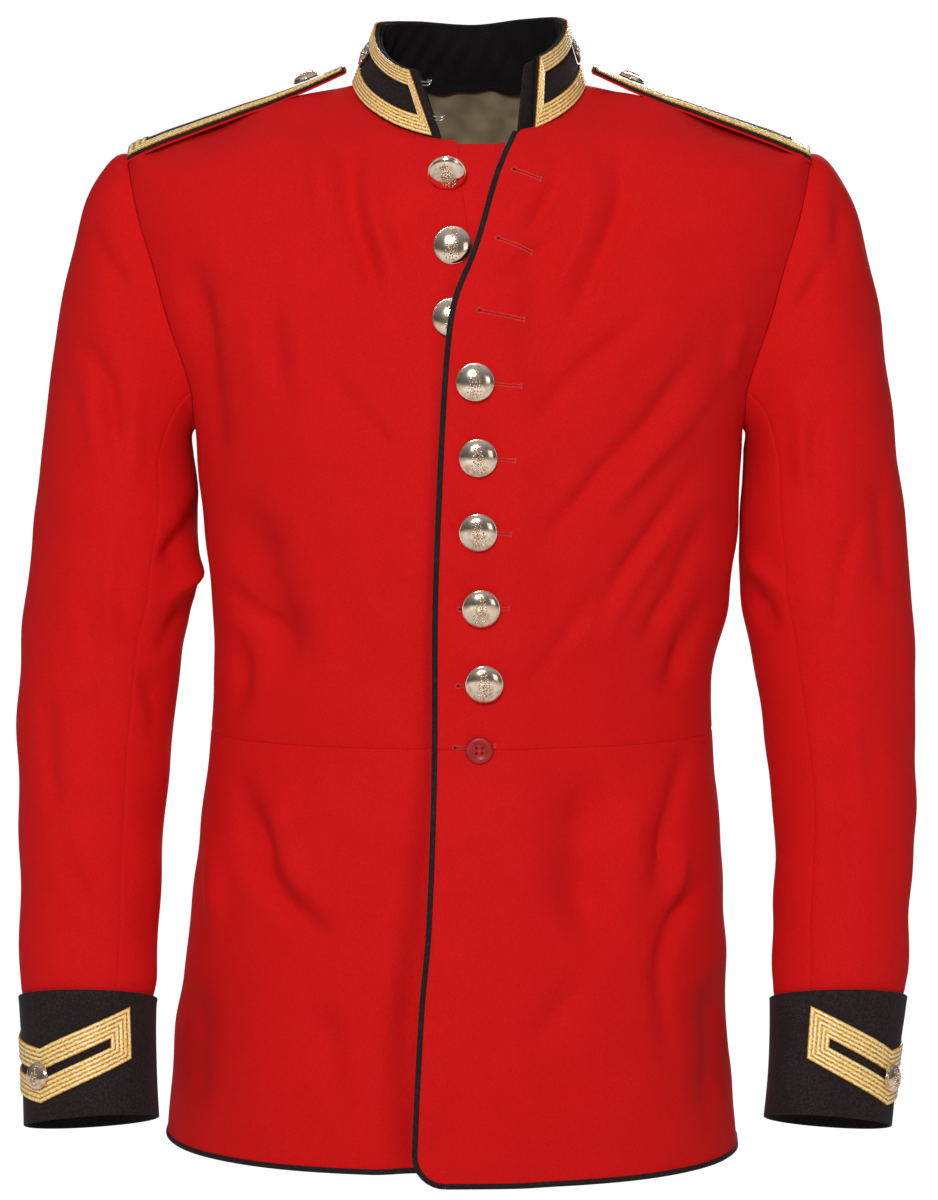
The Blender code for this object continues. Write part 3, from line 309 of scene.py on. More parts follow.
@dataclass(frozen=True)
class WireLace(Finish):
    """Lace of gilt wire over cord: a painted highlight, near white, on the rib tops, granular gold between,
    and painted shade, amber, in the grooves.

    The wires are wound across the ribs 0.4 mm apart, and drawn 1.6 mm apart to show.
    """

    word: ClassVar[str] = "wire"
    # Colours by the ribs' height: painted shade in the grooves, gold on the sides and body, a painted
    # highlight on the tops.
    painted_groove_shade: str = "#B46C04"
    side: str = "#F2AE20"
    body: str = "#FFD95A"
    top: str = "#FFFFF4"
    wire_mm: float = 1.6
    grains: float = 2.3  # how much the grains break up the ribs' colour

    def surface(self, tree: Tree) -> dict:
        """The relief attribute drives the colour as painted light, dark where low and near white where
        high; wires and grains break it up.
        """
        relief = add_node(tree, "ShaderNodeAttribute", attribute_name="relief").outputs["Fac"]
        across = add_node(tree, "ShaderNodeUVMap", uv_map="UVMap")
        grain = add_node(tree, "ShaderNodeTexNoise", {"Vector": across,
            "Scale": noise_scale(self.wire_mm), "Detail": 2.0, "Roughness": 0.6})
        wires = add_node(tree, "ShaderNodeTexWave", {"Vector": across,
            "Scale": noise_scale(self.wire_mm) / WAVES_TO_SCALE, "Distortion": 1.5, "Detail": 1.0,
            "Detail Scale": 2.0}, bands_direction="X")
        speck = add_node(tree, "ShaderNodeMath", {0: grain, 1: 0.5}, operation="SUBTRACT")
        lifted = add_node(tree, "ShaderNodeMath", {0: speck, 1: self.grains, 2: relief},
            operation="MULTIPLY_ADD")
        height = add_node(tree, "ShaderNodeMath", {0: wires.outputs["Fac"], 1: grain}, operation="ADD")
        # Painted light: the ramp runs from painted shade in the grooves to a painted highlight on the rib
        # tops.
        painted_relief_light = ((0.0, self.painted_groove_shade), (0.25, self.side), (0.65, self.body), (1.0, self.top))
        return {
            "Base Color": add_node(tree, "ShaderNodeValToRGB", {0: lifted}, painted_relief_light),
            "Normal": add_node(tree, "ShaderNodeBump", {"Height": height, "Strength": 0.55,
                                                        "Distance": 0.0004}),
            "Metallic": 0.06, "Roughness": 0.36}


@dataclass(frozen=True)
class Satin(Finish):
    """Satin lining: long floats that give a smooth, silky face with a soft gleam."""

    word: ClassVar[str] = "satin"
    deep: str = "#85745A"
    colour: str = "#AA9A7A"
    thread_mm: float = 0.6  # floats, drawn about three times as coarse as real ones
    cloud_mm: float = 14.0

    def surface(self, tree: Tree) -> dict:
        """Fine float lines in the bump, slow clouds in the colour."""
        place = add_node(tree, "ShaderNodeTexCoord").outputs["Object"]
        cloud = add_node(tree, "ShaderNodeTexNoise", {"Vector": place,
            "Scale": noise_scale(self.cloud_mm), "Detail": 1.0})
        lines = add_node(tree, "ShaderNodeTexWave", {"Vector": place,
            "Scale": noise_scale(self.thread_mm) / WAVES_TO_SCALE, "Distortion": 0.6},
            bands_direction="Z").outputs["Fac"]
        return {
            "Base Color": add_node(tree, "ShaderNodeValToRGB", {0: cloud},
                                   ((0.25, self.deep), (0.7, self.colour))),
            "Normal": add_node(tree, "ShaderNodeBump", {"Height": lines, "Strength": 0.12,
                                                        "Distance": 0.0001}),
            "Roughness": 0.36, "Anisotropic": 0.4, "Sheen Weight": 0.2}


@dataclass(frozen=True)
class Metal(Finish):
    """Pressed and polished metal: mirror-like, with a faint cloudy tarnish; on the crest the dark speckle
    is painted shade.
    """

    colour: str
    tarnish_and_shade: str
    roughness: float
    cloud_mm: float = 4.0

    def surface(self, tree: Tree) -> dict:
        """Tarnish, and on the crest painted shade, tints the colour and dulls the gloss a little."""
        place = add_node(tree, "ShaderNodeTexCoord").outputs["Object"]
        cloud = add_node(tree, "ShaderNodeTexNoise", {"Vector": place,
            "Scale": noise_scale(self.cloud_mm), "Detail": 3.0})
        gloss = add_node(tree, "ShaderNodeMapRange", {"Value": cloud, "From Min": 0.3, "From Max": 0.7,
            "To Min": self.roughness * 1.4, "To Max": self.roughness * 0.8})
        return {"Base Color": add_node(tree, "ShaderNodeValToRGB", {0: cloud},
                                       ((0.34, self.tarnish_and_shade), (0.52, self.colour))),
                "Roughness": gloss, "Metallic": 1.0}


@dataclass(frozen=True)
class Moulded(Finish):
    """Moulded polyester: glossy, with a slight swirl of pigment."""

    deep: str
    colour: str
    roughness: float = 0.28
    swirl_mm: float = 5.0

    def surface(self, tree: Tree) -> dict:
        """A slow swirl in the colour."""
        place = add_node(tree, "ShaderNodeTexCoord").outputs["Object"]
        swirl = add_node(tree, "ShaderNodeTexNoise", {"Vector": place,
            "Scale": noise_scale(self.swirl_mm), "Distortion": 0.8})
        return {"Base Color": add_node(tree, "ShaderNodeValToRGB", {0: swirl},
                                       ((0.35, self.deep), (0.6, self.colour))),
                "Roughness": self.roughness, "IOR": 1.52}


SCARLET = Melton("scarlet_melton_wool", "scarlet_wool", "#CB0A0C", "#D60E10", "#DE1614", "#D8402C",
    sheen=0.06)
BLACK_WOOL = Melton("black_melton_wool", "black_wool", "#171113", "#241C1D", "#3B3233", "#8B8284",
    sheen=0.22, nap_mm=1.3, grain=0.6)
BLACK_CLOTH = Melton("black_brushed_cotton", "black_cloth", "#0A0708", "#120E0F", "#241D1F", "#6B6265",
    sheen=0.1, nap_mm=1.0, cloud_mm=18.0, grain=0.5)
GOLD_LACE = WireLace("gilt_wire_lace", "gold_lace")
LINING_SATIN = Satin("neck_satin", "satin_lining")
PLATED = Metal("polished_plated_brass", "plated_metal", "#FFEBD6", "#E4C6A2", 0.14)
# The crest's metal: its fine, dark speckle is painted shade for the crevices between the crest's swellings.
CHASED = Metal("chased_plated_brass", "plated_metal", "#FFEAD2", "#7A5638", 0.18, cloud_mm=1.2)
STEEL = Metal("drawn_steel_wire", "hook_steel", "#D8D8D6", "#A9A8A5", 0.25)
BACKING = Moulded("badge_backing_lacquer", "red_plastic", "#2A130E", "#4A2418", 0.45)
RED_BUTTON = Moulded("red_polyester", "red_plastic", "#980C10", "#B01216", 0.42)
RED_THREAD = Melton("red_buttonhole_thread", "scarlet_wool", "#CA2422", "#DC3E3A", "#EA5E56", "#F0A090",
    sheen=0.15, nap_mm=0.7, grain=0.2, roughness=0.6)
# Painted shade: a near-black plug for the shade inside each buttonhole's eye.
EYE_SHADE = Moulded("dark_eyelet", "scarlet_wool", "#240405", "#3A0608", 0.8)
SLIT_SHADE = Melton("red_cloth_in_shade", "scarlet_wool", "#A80A0C", "#B60C0E", "#BE0E10", "#9A2A20",
    sheen=0.02)


# --- pieces
class Shape(NamedTuple):
    """Loose mesh data: points, and faces as tuples of point numbers."""

    points: Array
    faces: list[tuple[int, ...]]

    def moved(self, matrix: Matrix) -> "Shape":
        """The shape through a matrix."""
        table = np.array(matrix)
        return Shape(self.points @ table[:3, :3].T + table[:3, 3], self.faces)

    def mesh(self, name: str) -> Mesh:
        """The shape as a mesh."""
        mesh = bpy.data.meshes.new(name)
        mesh.from_pydata(self.points.tolist(), [], self.faces)
        return mesh


def joined(shapes: Sequence[Shape]) -> Shape:
    """Several shapes as one."""
    starts = np.cumsum([0] + [len(shape.points) for shape in shapes])
    faces = [tuple(int(start) + corner for corner in face)
             for start, shape in zip(starts, shapes) for face in shape.faces]
    return Shape(np.vstack([shape.points for shape in shapes]), faces)


def lathe(profile: Points, sides: int) -> Shape:
    """Turns (radius, height) pairs, top to bottom, about +Z; both ends lie on the axis."""
    rings = [row for row in profile if row[0] > 0]
    turns = np.arange(sides) * 2 * math.pi / sides
    points = [(r * math.cos(t), r * math.sin(t), z) for r, z in rings for t in turns]
    top, bottom, last = len(points), len(points) + 1, len(points) - sides
    points += [(0, 0, profile[0][1]), (0, 0, profile[-1][1])]
    faces: list[tuple[int, ...]] = []
    for side in range(sides):
        after = (side + 1) % sides
        faces += [(top, side, after), (bottom, last + after, last + side)]
        faces += [(row + side, row + sides + side, row + sides + after, row + after)
                  for row in range(0, last, sides)]
    return Shape(np.array(points), faces)


def sweep(path: Array, normals: Array, half_width: float, half_depth: float, sides: int) -> Shape:
    """A cord along a path, with capped ends.

    Args:
        path: its middle points.
        normals: the direction of its depth at each.
        half_width: half its size across the normals.
        half_depth: half its size along them.
        sides: corners of its section.

    Returns:
        The cord.
    """
    ahead = np.gradient(np.asarray(path, float), axis=0)
    across = unit(np.cross(ahead, normals))
    out = unit(np.cross(across, ahead))
    side = np.arange(sides)
    turns = side * 2 * math.pi / sides
    ring = (across[:, None] * (half_width * np.cos(turns))[:, None]
            + out[:, None] * (half_depth * np.sin(turns))[:, None])
    points = (path[:, None] + ring).reshape(-1, 3)
    low, after = np.arange(len(path) - 1)[:, None] * sides, (side + 1) % sides
    corners = (low + side, low + after, low + sides + after, low + sides + side)
    faces = [tuple(face) for face in np.stack(corners, axis=-1).reshape(-1, 4).tolist()]
    faces += [tuple(range(sides))[::-1], tuple(range(len(points) - sides, len(points)))]
    if np.dot(np.cross(ring[0, 0], ring[0, 1]), path[1] - path[0]) < 0:
        faces = [face[::-1] for face in faces]
    return Shape(points, faces)


@dataclass
class Slab:
    """A wall of cloth between two grids of points, with its edges closed."""

    outer: Array  # rows, columns, 3
    inner: Array
    keep: Array | None = None  # which cells of the grid are cloth
    ring: bool = False  # the last column is the first one again
    relief: Array | None = None  # rows, columns: how high the ribs stand, 0 to 1

    @classmethod
    def wrap(cls, face: Array, normals: Array, wall: float, edges: Sequence[Edge],
            **more: object) -> "Slab":
        """A slab below a grid of points.

        Args:
            face: the outer points.
            normals: the outward directions.
            wall: the cloth's thickness.
            edges: finish of the first row, last row, first column and last column.
            more: other fields of the slab.

        Returns:
            The slab, its edges rounded over and its seams sunk.
        """
        runs = [cls.run(face, 0), cls.run(face, 1)]
        gaps = [runs[0], runs[0][-1:] - runs[0], runs[1], runs[1][:, -1:] - runs[1]]
        tuck = np.zeros(face.shape[:2])
        sink = np.zeros(face.shape[:2])
        for gap, edge in zip(gaps, edges):
            radius = max(wall * edge.value.round, 1e-7)
            near = radius - np.minimum(gap, radius)
            tuck = np.maximum(tuck, radius - np.sqrt(np.maximum(radius ** 2 - near ** 2, 0)))
            sink = np.maximum(sink, edge.value.sink * np.exp(-(gap / edge.value.width * 2) ** 2))
        outer = face - normals * (tuck + sink)[..., None]
        inner = face - normals * (wall - tuck + sink)[..., None]
        return cls(outer, inner, **more)

    @staticmethod
    def run(points: Array, axis: int) -> Array:
        """How far each point lies along its row (axis 1) or column (axis 0)."""
        steps = np.linalg.norm(np.diff(points, axis=axis), axis=-1)
        start = np.zeros_like(np.take(steps, [0], axis=axis))
        return np.concatenate([start, np.cumsum(steps, axis=axis)], axis=axis)

    def cut(self) -> tuple[float, float, float]:
        """Width, length and area of the flat cloth."""
        width = float(self.run(self.outer, 1)[:, -1].max())
        length = float(self.run(self.outer, 0)[-1].max())
        a, b = self.outer[1:, 1:] - self.outer[:-1, :-1], self.outer[1:, :-1] - self.outer[:-1, 1:]
        cells = np.linalg.norm(np.cross(a, b), axis=-1) / 2
        area = float((cells if self.keep is None else cells[self.keep]).sum())
        return width, length, min(area, width * length)

    def mesh(self, name: str) -> Mesh:
        """The closed mesh, with a UV map in metres and the relief attribute.

        Args:
            name: the mesh's name.

        Returns:
            The mesh, its faces pointing out.
        """
        rows, columns = self.outer.shape[:2]
        corners = np.arange(rows * columns).reshape(rows, columns)
        keep = np.ones((rows - 1, columns - 1), bool) if self.keep is None else self.keep
        row, column = np.nonzero(keep)
        ahead = [(row, column), (row, column + 1), (row + 1, column + 1), (row + 1, column)]
        front = np.stack([corners[place] for place in ahead], axis=1)
        shift = rows * columns
        faces = [front, front[:, ::-1] + shift]
        sides = ((-1, 0, 0, 1), (0, 1, 1, 2), (1, 0, 2, 3), (0, -1, 3, 0))
        for down, across, start, end in sides:
            near_row, near_column = row + down, column + across
            if self.ring:
                near_column = near_column % (columns - 1)
            inside = ((near_row >= 0) & (near_row < rows - 1)
                      & (near_column >= 0) & (near_column < columns - 1))
            inside[inside] = keep[near_row[inside], near_column[inside]]
            a, b = front[~inside, start], front[~inside, end]
            faces.append(np.stack([b, a, a + shift, b + shift], axis=1))
        loops = np.vstack(faces)
        across = self.outer[row, column + 1] - self.outer[row, column]
        down = self.outer[row + 1, column] - self.outer[row, column]
        out = (self.outer - self.inner)[row, column]
        if np.einsum("ij,ij->i", np.cross(across, down), out).sum() < 0:
            loops = loops[:, ::-1]
        uv = np.stack([self.run(self.outer, 1), self.run(self.outer, 0)], axis=-1).reshape(-1, 2)
        uv = np.vstack([uv, uv])[loops]
        points = np.vstack([self.outer.reshape(-1, 3), self.inner.reshape(-1, 3)])
        if self.ring:
            merged = corners.copy()
            merged[:, -1] = merged[:, 0]
            merged = np.concatenate([merged.ravel(), merged.ravel() + shift])
            loops = merged[loops]
        used, numbers = np.unique(loops, return_inverse=True)
        mesh = bpy.data.meshes.new(name)
        mesh.from_pydata(points[used].tolist(), [], numbers.reshape(-1, 4).tolist())
        layer = mesh.uv_layers.new(name="UVMap")
        layer.data.foreach_set("uv", uv.reshape(-1).astype(np.float32))
        if self.relief is not None:
            height = np.concatenate([self.relief.ravel(), np.zeros(shift)])[used]
            mesh.attributes.new("relief", "FLOAT", "POINT").data.foreach_set(
                "value", height.astype(np.float32))
        return mesh


@dataclass
class Wardrobe:
    pieces: dict[str, bpy.types.Object] = field(default_factory=dict)
    sheets: list[tuple] = field(default_factory=list)

    def add(self, name: str, mesh: Mesh, finish: Finish, *nodes: str) -> None:
        """Makes a piece of the tunic.

        Args:
            name: the piece's name.
            mesh: its finished mesh.
            finish: what it is made of.
            nodes: the CAD nodes that it stands for.
        """
        mesh.shade_smooth()
        mesh.set_sharp_from_angle(angle=SHARP)
        mesh.materials.append(finish.material())
        item = self.pieces[name] = bpy.data.objects.new(name, mesh)
        bpy.context.scene.collection.objects.link(item)
        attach(item, "root")
        if nodes:
            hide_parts(*nodes)
        LOG.info("%s: %d faces", name, len(mesh.polygons))

    def add_shape(self, name: str, shape: Shape, finish: Finish, *nodes: str) -> None:
        """A piece from loose mesh data."""
        self.add(name, shape.mesh(name), finish, *nodes)

    def add_cloth(self, node: str, slab: Slab, finish: Finish, *rests_on: str,
            trims: Sequence[str] = ()) -> None:
        """A piece of cloth, whose cut is logged at the end.

        Args:
            node: the CAD node that it stands for.
            slab: its wall of cloth.
            finish: what it is made of.
            rests_on: the nodes that hold it.
            trims: the pieces on it.
        """
        name = "%s_%s" % (node, finish.word)
        self.add(name, slab.mesh(name), finish, node)
        self.sheets.append((name, slab.cut(), rests_on, trims))

    def declare_sheets(self) -> None:
        """Says of each piece of cloth how large it was cut."""
        for name, (width, length, area), rests_on, trims in self.sheets:
            cut = (round(width, 4), round(length, 4))
            list(rests_on)
            [self.pieces[trim] for trim in trims]
            LOG.info("%s is cut to %.0f x %.0f mm, %.1f cm2", name, cut[0] * 1000, cut[1] * 1000,
                area * 1e4)


# --- folds
class Crease(NamedTuple):
    """One soft fold, as seen from the front (or from behind): all in millimetres."""

    depth: float  # of a trough; a ridge is negative
    width: float  # from its middle to where it has died away
    stops: Array  # across (+X) and up from the origin

    @classmethod
    def rows(cls, table: Points) -> list["Crease"]:
        """The creases of a table: in each row depth, width, then each stop's across and up."""
        return [cls(depth, width, np.reshape(stops, (-1, 2))) for depth, width, *stops in table]


CREASE_POINTS = 22
CREASE_TAPER = 0.38  # of its length at each end
CREASE_LIP = 0.75  # how high its sides rise beside the trough
CREASE_REACH = 2.6  # how many widths away it is worked out
CREASE_FALL = 1.6  # how fast it dies away across
CREASE_SPREAD = (1.15, 0.85)  # its width at its start and at its end, of that listed
CREASE_WOBBLE = (0.22, 11, 1.7)  # how uneven its depth is, how often along it, and from one to the next
CREASE_TURN = 1.4  # how fast it fades where the cloth turns away
RIPPLES = 7
RIPPLE_RATES = (60, 150)  # how fast they run, in radians a metre
CHUNK = 4000  # points whose gaps are worked out at once

BODY_CREASES = (
    # The right front and skirt.
    (4.6, 12, -86, -18, -80, -50, -77, -80, -70, -108, -63, -130, -56, -160),
    (-1.9, 11, -66, -50, -65, -80, -56, -108, -42, -130),
    (-1.8, 12, -102, -35, -98, -75, -90, -120),
    (1.9, 9, -52, -84, -44, -103, -34, -122, -22, -142),
    (1.9, 12, -108, -165, -86, -201, -62, -230, -42, -254),
    (2.1, 14, -128, -110, -131, -150, -127, -190, -116, -228),
    (5.0, 14, -191, -95, -184, -135, -177, -180, -172, -220, -166, -262),
    (6.0, 28, -156, -262, -144, -315, -130, -360, -116, -412),
    (2.7, 8, -172, -328, -154, -349, -136, -363, -114, -374),
    (3.2, 10, -160, -360, -155, -385, -155, -408, -163, -430),
    (6.0, 14, -164, -448, -152, -480, -144, -508, -139, -528, -122, -548, -102, -563, -82, -573),
    (-2.8, 13, -130, -466, -126, -500, -116, -530, -96, -547),
    (-2.4, 10, -178, -495, -174, -540, -173, -590),
    (1.9, 14, -102, -596, -93, -640, -88, -690),
    (2.6, 14, -186, -600, -184, -650, -186, -705),
    (3.0, 15, -30, -450, -36, -540, -44, -620, -50, -716),
    (1.6, 12, -150, -28, -118, -26, -96, -36),
    # The left front and skirt.
    (3.3, 10, 98, -14, 102, -45, 101, -75, 93, -100, 81, -127, 69, -150, 56, -170),
    (-2.2, 9, 76, -26, 80, -60, 76, -95, 62, -125, 44, -152),
    (2.4, 9, 64, -38, 58, -65, 44, -88, 28, -102),
    (2.1, 8, 68, -90, 48, -108, 26, -122, 6, -136),
    (1.8, 10, 142, -126, 104, -163, 78, -184, 54, -210, 30, -237),
    (3.0, 9, 166, -152, 148, -184, 132, -207, 113, -231, 93, -250, 76, -271, 58, -291, 44, -312),
    (-2.4, 10, 176, -180, 148, -219, 125, -243, 101, -270, 76, -302),
    (2.7, 9, 168, -230, 142, -270, 124, -296, 106, -320, 92, -345, 80, -378),
    (-1.6, 6, 146, -280, 124, -310, 106, -338, 90, -372),
    (2.5, 9, 166, -275, 148, -313, 136, -338, 124, -360, 110, -382),
    (3.4, 11, 164, -336, 148, -370, 140, -392, 126, -414),
    (1.5, 9, 102, -316, 76, -350, 56, -378, 38, -402),
    (-1.8, 9, 184, -150, 174, -200),
    (3.3, 9, 150, -436, 141, -470, 134, -498, 130, -525, 121, -548),
    (-2.0, 7, 148, -500, 142, -535, 133, -554),
    (3.0, 10, 160, -512, 154, -545, 140, -562, 130, -590, 132, -625, 138, -665),
    (7.0, 27, 100, -452, 82, -480, 76, -515, 80, -550, 96, -592),
    (-1.9, 12, 122, -470, 112, -510, 118, -548),
    (1.7, 15, 88, -582, 64, -612, 38, -642),
    (2.6, 14, 168, -590, 166, -650, 162, -712),
)
BACK_CREASES = ((4.2, 25, -170, -96, -128, -150, -66, -196),
    (-2.8, 22, -176, -150, -130, -212, -82, -262), (3.0, 22, -168, -236, -120, -290, -60, -330),
    (3.8, 23, 168, -104, 120, -148, 62, -206), (-2.6, 20, 172, -166, 136, -214, 76, -250),
    (3.4, 24, 160, -260, 112, -304, 70, -352), (3.4, 18, -150, -372, -92, -392, -30, -398),
    (4.0, 18, 150, -350, 104, -384, 40, -392), (2.0, 24, -60, -20, -52, -70, -20, -120),
    (2.2, 22, 64, -24, 50, -76, 26, -112), (4.6, 24, -150, -470, -112, -540, -104, -640),
    (-3.4, 26, -70, -480, -62, -560, -70, -690), (4.2, 26, 84, -474, 76, -560, 86, -650),
    (-3.2, 24, 140, -486, 134, -580, 148, -700), (2.8, 30, 20, -500, 26, -600, 14, -700))
SLEEVE_CREASES = ((2.2, 10, -260, -86, -248, -112, -236, -130, -226, -152),
    (2.9, 8, -272, -160, -256, -180, -245, -196, -240, -220, -237, -250, -234, -282),
    (-1.8, 8, -268, -178, -258, -205, -253, -235, -250, -278),
    (-1.4, 8, -226, -190, -224, -230, -228, -275), (5.2, 12, -176, -280, -192, -305, -210, -332),
    (-3.4, 8, -172, -314, -190, -335, -210, -352), (2.6, 8, -186, -348, -201, -366, -212, -388),
    (1.8, 8, -266, -325, -256, -370, -250, -400, -243, -428),
    (-1.4, 7, -240, -296, -244, -340, -240, -385),
    (1.9, 8, -284, -498, -268, -525, -256, -548, -243, -572),
    (1.8, 8, -224, -392, -214, -420, -217, -452), (1.6, 9, -288, -395, -284, -450, -280, -500),
    (2.2, 10, 246, -56, 252, -90, 247, -122), (2.2, 8, 246, -112, 232, -133, 220, -150, 206, -164),
    (1.9, 7, 237, -210, 233, -250, 235, -292), (-1.6, 8, 222, -196, 224, -240, 227, -284),
    (3.8, 10, 182, -326, 197, -352, 214, -374), (-2.2, 8, 186, -312, 202, -332, 220, -348),
    (1.8, 8, 264, -286, 252, -330, 246, -374), (1.6, 10, 238, -436, 246, -480, 252, -520, 250, -564),
    (-1.5, 10, 256, -400, 262, -450, 266, -500), (1.6, 9, 282, -240, 280, -300, 284, -350))
SLEEVE_BACK_CREASES = ((4.4, 14, -296, -300, -262, -348, -214, -362),
    (-3.0, 12, -290, -350, -256, -384, -216, -392), (3.4, 13, -298, -404, -262, -424, -226, -418),
    (2.6, 16, -270, -130, -250, -190, -262, -250), (2.2, 14, -262, -470, -250, -520, -268, -580),
    (4.6, 14, 292, -286, 256, -340, 212, -350), (-2.8, 12, 294, -338, 254, -378, 218, -380),
    (3.0, 13, 292, -398, 250, -410, 222, -404), (2.4, 16, 268, -136, 246, -186, 256, -246),
    (2.4, 14, 258, -462, 248, -516, 262, -590),)


@dataclass
class Folds:
    """Presses creases and slow ripples into a form's surface."""

    front: Points
    behind: Points
    gain: float  # how much deeper than listed
    calm: Array  # points of the seams that hold the cloth still
    reach: float  # how far from those seams the folds are full
    ripple: float = 0.0006
    seed: int = 4

    def __post_init__(self) -> None:
        """Draws the ripples' directions and phases."""
        draw = np.random.default_rng(self.seed)
        self.waves = unit(draw.normal(size=(RIPPLES, 3))) * draw.uniform(*RIPPLE_RATES, size=(RIPPLES, 1))
        self.phases = draw.uniform(0, 2 * math.pi, size=RIPPLES)

    @staticmethod
    def crease_height(crease: Crease, place: Array, wobble: float) -> Array:
        """How far one crease moves each place of its view, in metres."""
        path = smooth_path(crease.stops, CREASE_POINTS) / 1000
        width = crease.width / 1000
        height = np.zeros(len(place))
        reach = CREASE_REACH * width
        low, high = path.min(0) - reach, path.max(0) + reach
        near = np.all((place > low) & (place < high), axis=1)
        if not near.any():
            return height
        start, step = path[:-1], np.diff(path, axis=0)
        offset = place[near][:, None] - start
        share = np.clip((offset * step).sum(-1) / (step ** 2).sum(-1), 0, 1)
        gap = np.linalg.norm(offset - share[..., None] * step, axis=-1)
        nearest = gap.argmin(1)
        rows = np.arange(len(gap))
        along = (nearest + share[rows, nearest]) / len(step)
        q = gap[rows, nearest] / (width * blend(*CREASE_SPREAD, along))
        taper = ease(along / CREASE_TAPER) * ease((1 - along) / CREASE_TAPER)
        uneven, often, _ = CREASE_WOBBLE
        taper = taper * (1 + uneven * np.sin(often * along + wobble))
        height[near] = (-crease.depth / 1000 * taper * (1 - CREASE_LIP * q * q)
                        * np.exp(-CREASE_FALL * q * q))
        return height

    def press(self, points: Array, normals: Array) -> Array:
        """Heights of the folds on a surface.

        Args:
            points: of the surface, any shape with 3 last.
            normals: its unit normals.

        Returns:
            How far out each point moves.
        """
        flat = points.reshape(-1, 3)
        facing = normals.reshape(-1, 3)[:, 1]
        place = flat[:, [0, 2]]
        total = np.zeros(len(flat))
        for creases, way in ((self.front, -1), (self.behind, 1)):
            weight = ease(0.5 + CREASE_TURN * way * facing)
            for number, crease in enumerate(Crease.rows(creases)):
                total += self.gain * weight * self.crease_height(crease, place, CREASE_WOBBLE[2] * number)
        total += self.ripple * np.sin(flat @ self.waves.T + self.phases).sum(1) / math.sqrt(RIPPLES)
        gap = np.full(len(flat), 1.0)
        for start in range(0, len(flat), CHUNK):
            rows = slice(start, start + CHUNK)
            gap[rows] = np.linalg.norm(flat[rows, None] - self.calm, axis=-1).min(1)
        return (total * ease(gap / self.reach)).reshape(points.shape[:-1])


# --- the body's form
# Height, half width, front depth, back depth, centre's shift to +X.
BODY_SECTIONS = ((0.0, 0.0775, 0.012, 0.069, 0.0), (-0.007, 0.11, 0.027, 0.076, 0.0),
    (-0.013, 0.132, 0.041, 0.08, 0.0), (-0.019, 0.151, 0.054, 0.084, 0.0),
    (-0.0255, 0.168, 0.064, 0.087, 0.0), (-0.032, 0.186, 0.074, 0.09, 0.0),
    (-0.047, 0.2325, 0.0885, 0.096, 0.0), (-0.075, 0.236, 0.1035, 0.106, 0.0),
    (-0.11, 0.234, 0.114, 0.115, 0.0), (-0.16, 0.222, 0.123, 0.12, 0.0),
    (-0.235, 0.1875, 0.125, 0.119, 0.0), (-0.28, 0.185, 0.123, 0.115, 0.001),
    (-0.353, 0.1778, 0.116, 0.108, 0.0015), (-0.41, 0.1712, 0.111, 0.104, -0.0045),
    (-0.44, 0.1725, 0.11, 0.103, -0.005), (-0.5, 0.1788, 0.119, 0.113, -0.0058),
    (-0.59, 0.1865, 0.13, 0.127, -0.0085), (-0.65, 0.1916, 0.136, 0.137, -0.012),
    (-0.735, 0.199, 0.143, 0.148, -0.0118),)
# Height and half width of the armhole's seam.
ARMHOLE_WIDTHS = ((-0.047, 0.2325), (-0.09, 0.2225), (-0.125, 0.2115), (-0.15, 0.205),
    (-0.17, 0.199), (-0.19, 0.1925), (-0.21, 0.188), (-0.235, 0.1875))
ARMHOLE_TOP, ARMHOLE_BOTTOM = -0.047, -0.235
ARMHOLE_FRONT = 0.056  # how far its front edge stands off the shoulder line
NECK_WIDTH, NECK_DROP, NECK_POWER = 0.0775, 0.037, 1.2
NECK_CORNERS = {Side.LEFT: 25.7, Side.RIGHT: 5.5}  # degrees round the neck, of the fronts' tops
# Height and distance from the centre of the left front's piped edge.
FRONT_EDGE = ((-0.031, 0.0322), (-0.0604, 0.0186), (-0.099, 0.0073), (-0.1147, 0.002),
    (-0.1435, -0.0092), (-0.161, -0.0125), (-0.1987, -0.0158), (-0.2467, -0.0184), (-0.36, -0.0224),
    (-0.44, -0.0228), (-0.556, -0.0263), (-0.616, -0.0314), (-0.691, -0.0353), (-0.733, -0.0368))
UNDERLAP_SEAM = ((-0.037, -0.0075), (-0.06, -0.006), (-0.1, -0.001), (-0.44, -0.001))
UNDERLAP_EDGE = 0.024  # the right front's hidden edge
WAIST = -0.4415
HEM = {Side.RIGHT: -0.7245, Side.LEFT: -0.733}  # the left half of the skirt hangs lower
HEM_CORNER = 0.022  # radius of the left front's lower corner
SIDE_SEAM_TURN = 7.0  # degrees the side seam lies behind the widest line
SIDE_SEAM_RUN = 0.15  # how far below the armhole it reaches that
LAP, LAP_START, LAP_END = 0.0036, 0.03, 0.06  # the left front's step over the right one
RIDE_HEIGHT, RIDE_CENTRE, RIDE_REACH = 0.0095, (-0.004, -0.15), (0.034, 0.06)
RIDE_FALL = 2.2
PIPING_WIDTH = 0.0036
# Height, and the depth and width of the right front's turn inward beside the left one.
TURN_IN = ((-0.18, 0.0, 0.01), (-0.26, 0.0022, 0.01), (-0.44, 0.005, 0.015),
    (-0.6, 0.0085, 0.022), (-0.74, 0.0115, 0.03))
# The shoulder under its strap's front half: pressed down at the sleeve, filled up by the neck;
# then distances ahead of the shoulder line.
STRAP_PRESS, STRAP_FILL, STRAP_REACH = 0.004, -0.0045, (0.002, 0.026, 0.09)
FILL_START, FILL_END = 0.175, 0.125  # from the centre
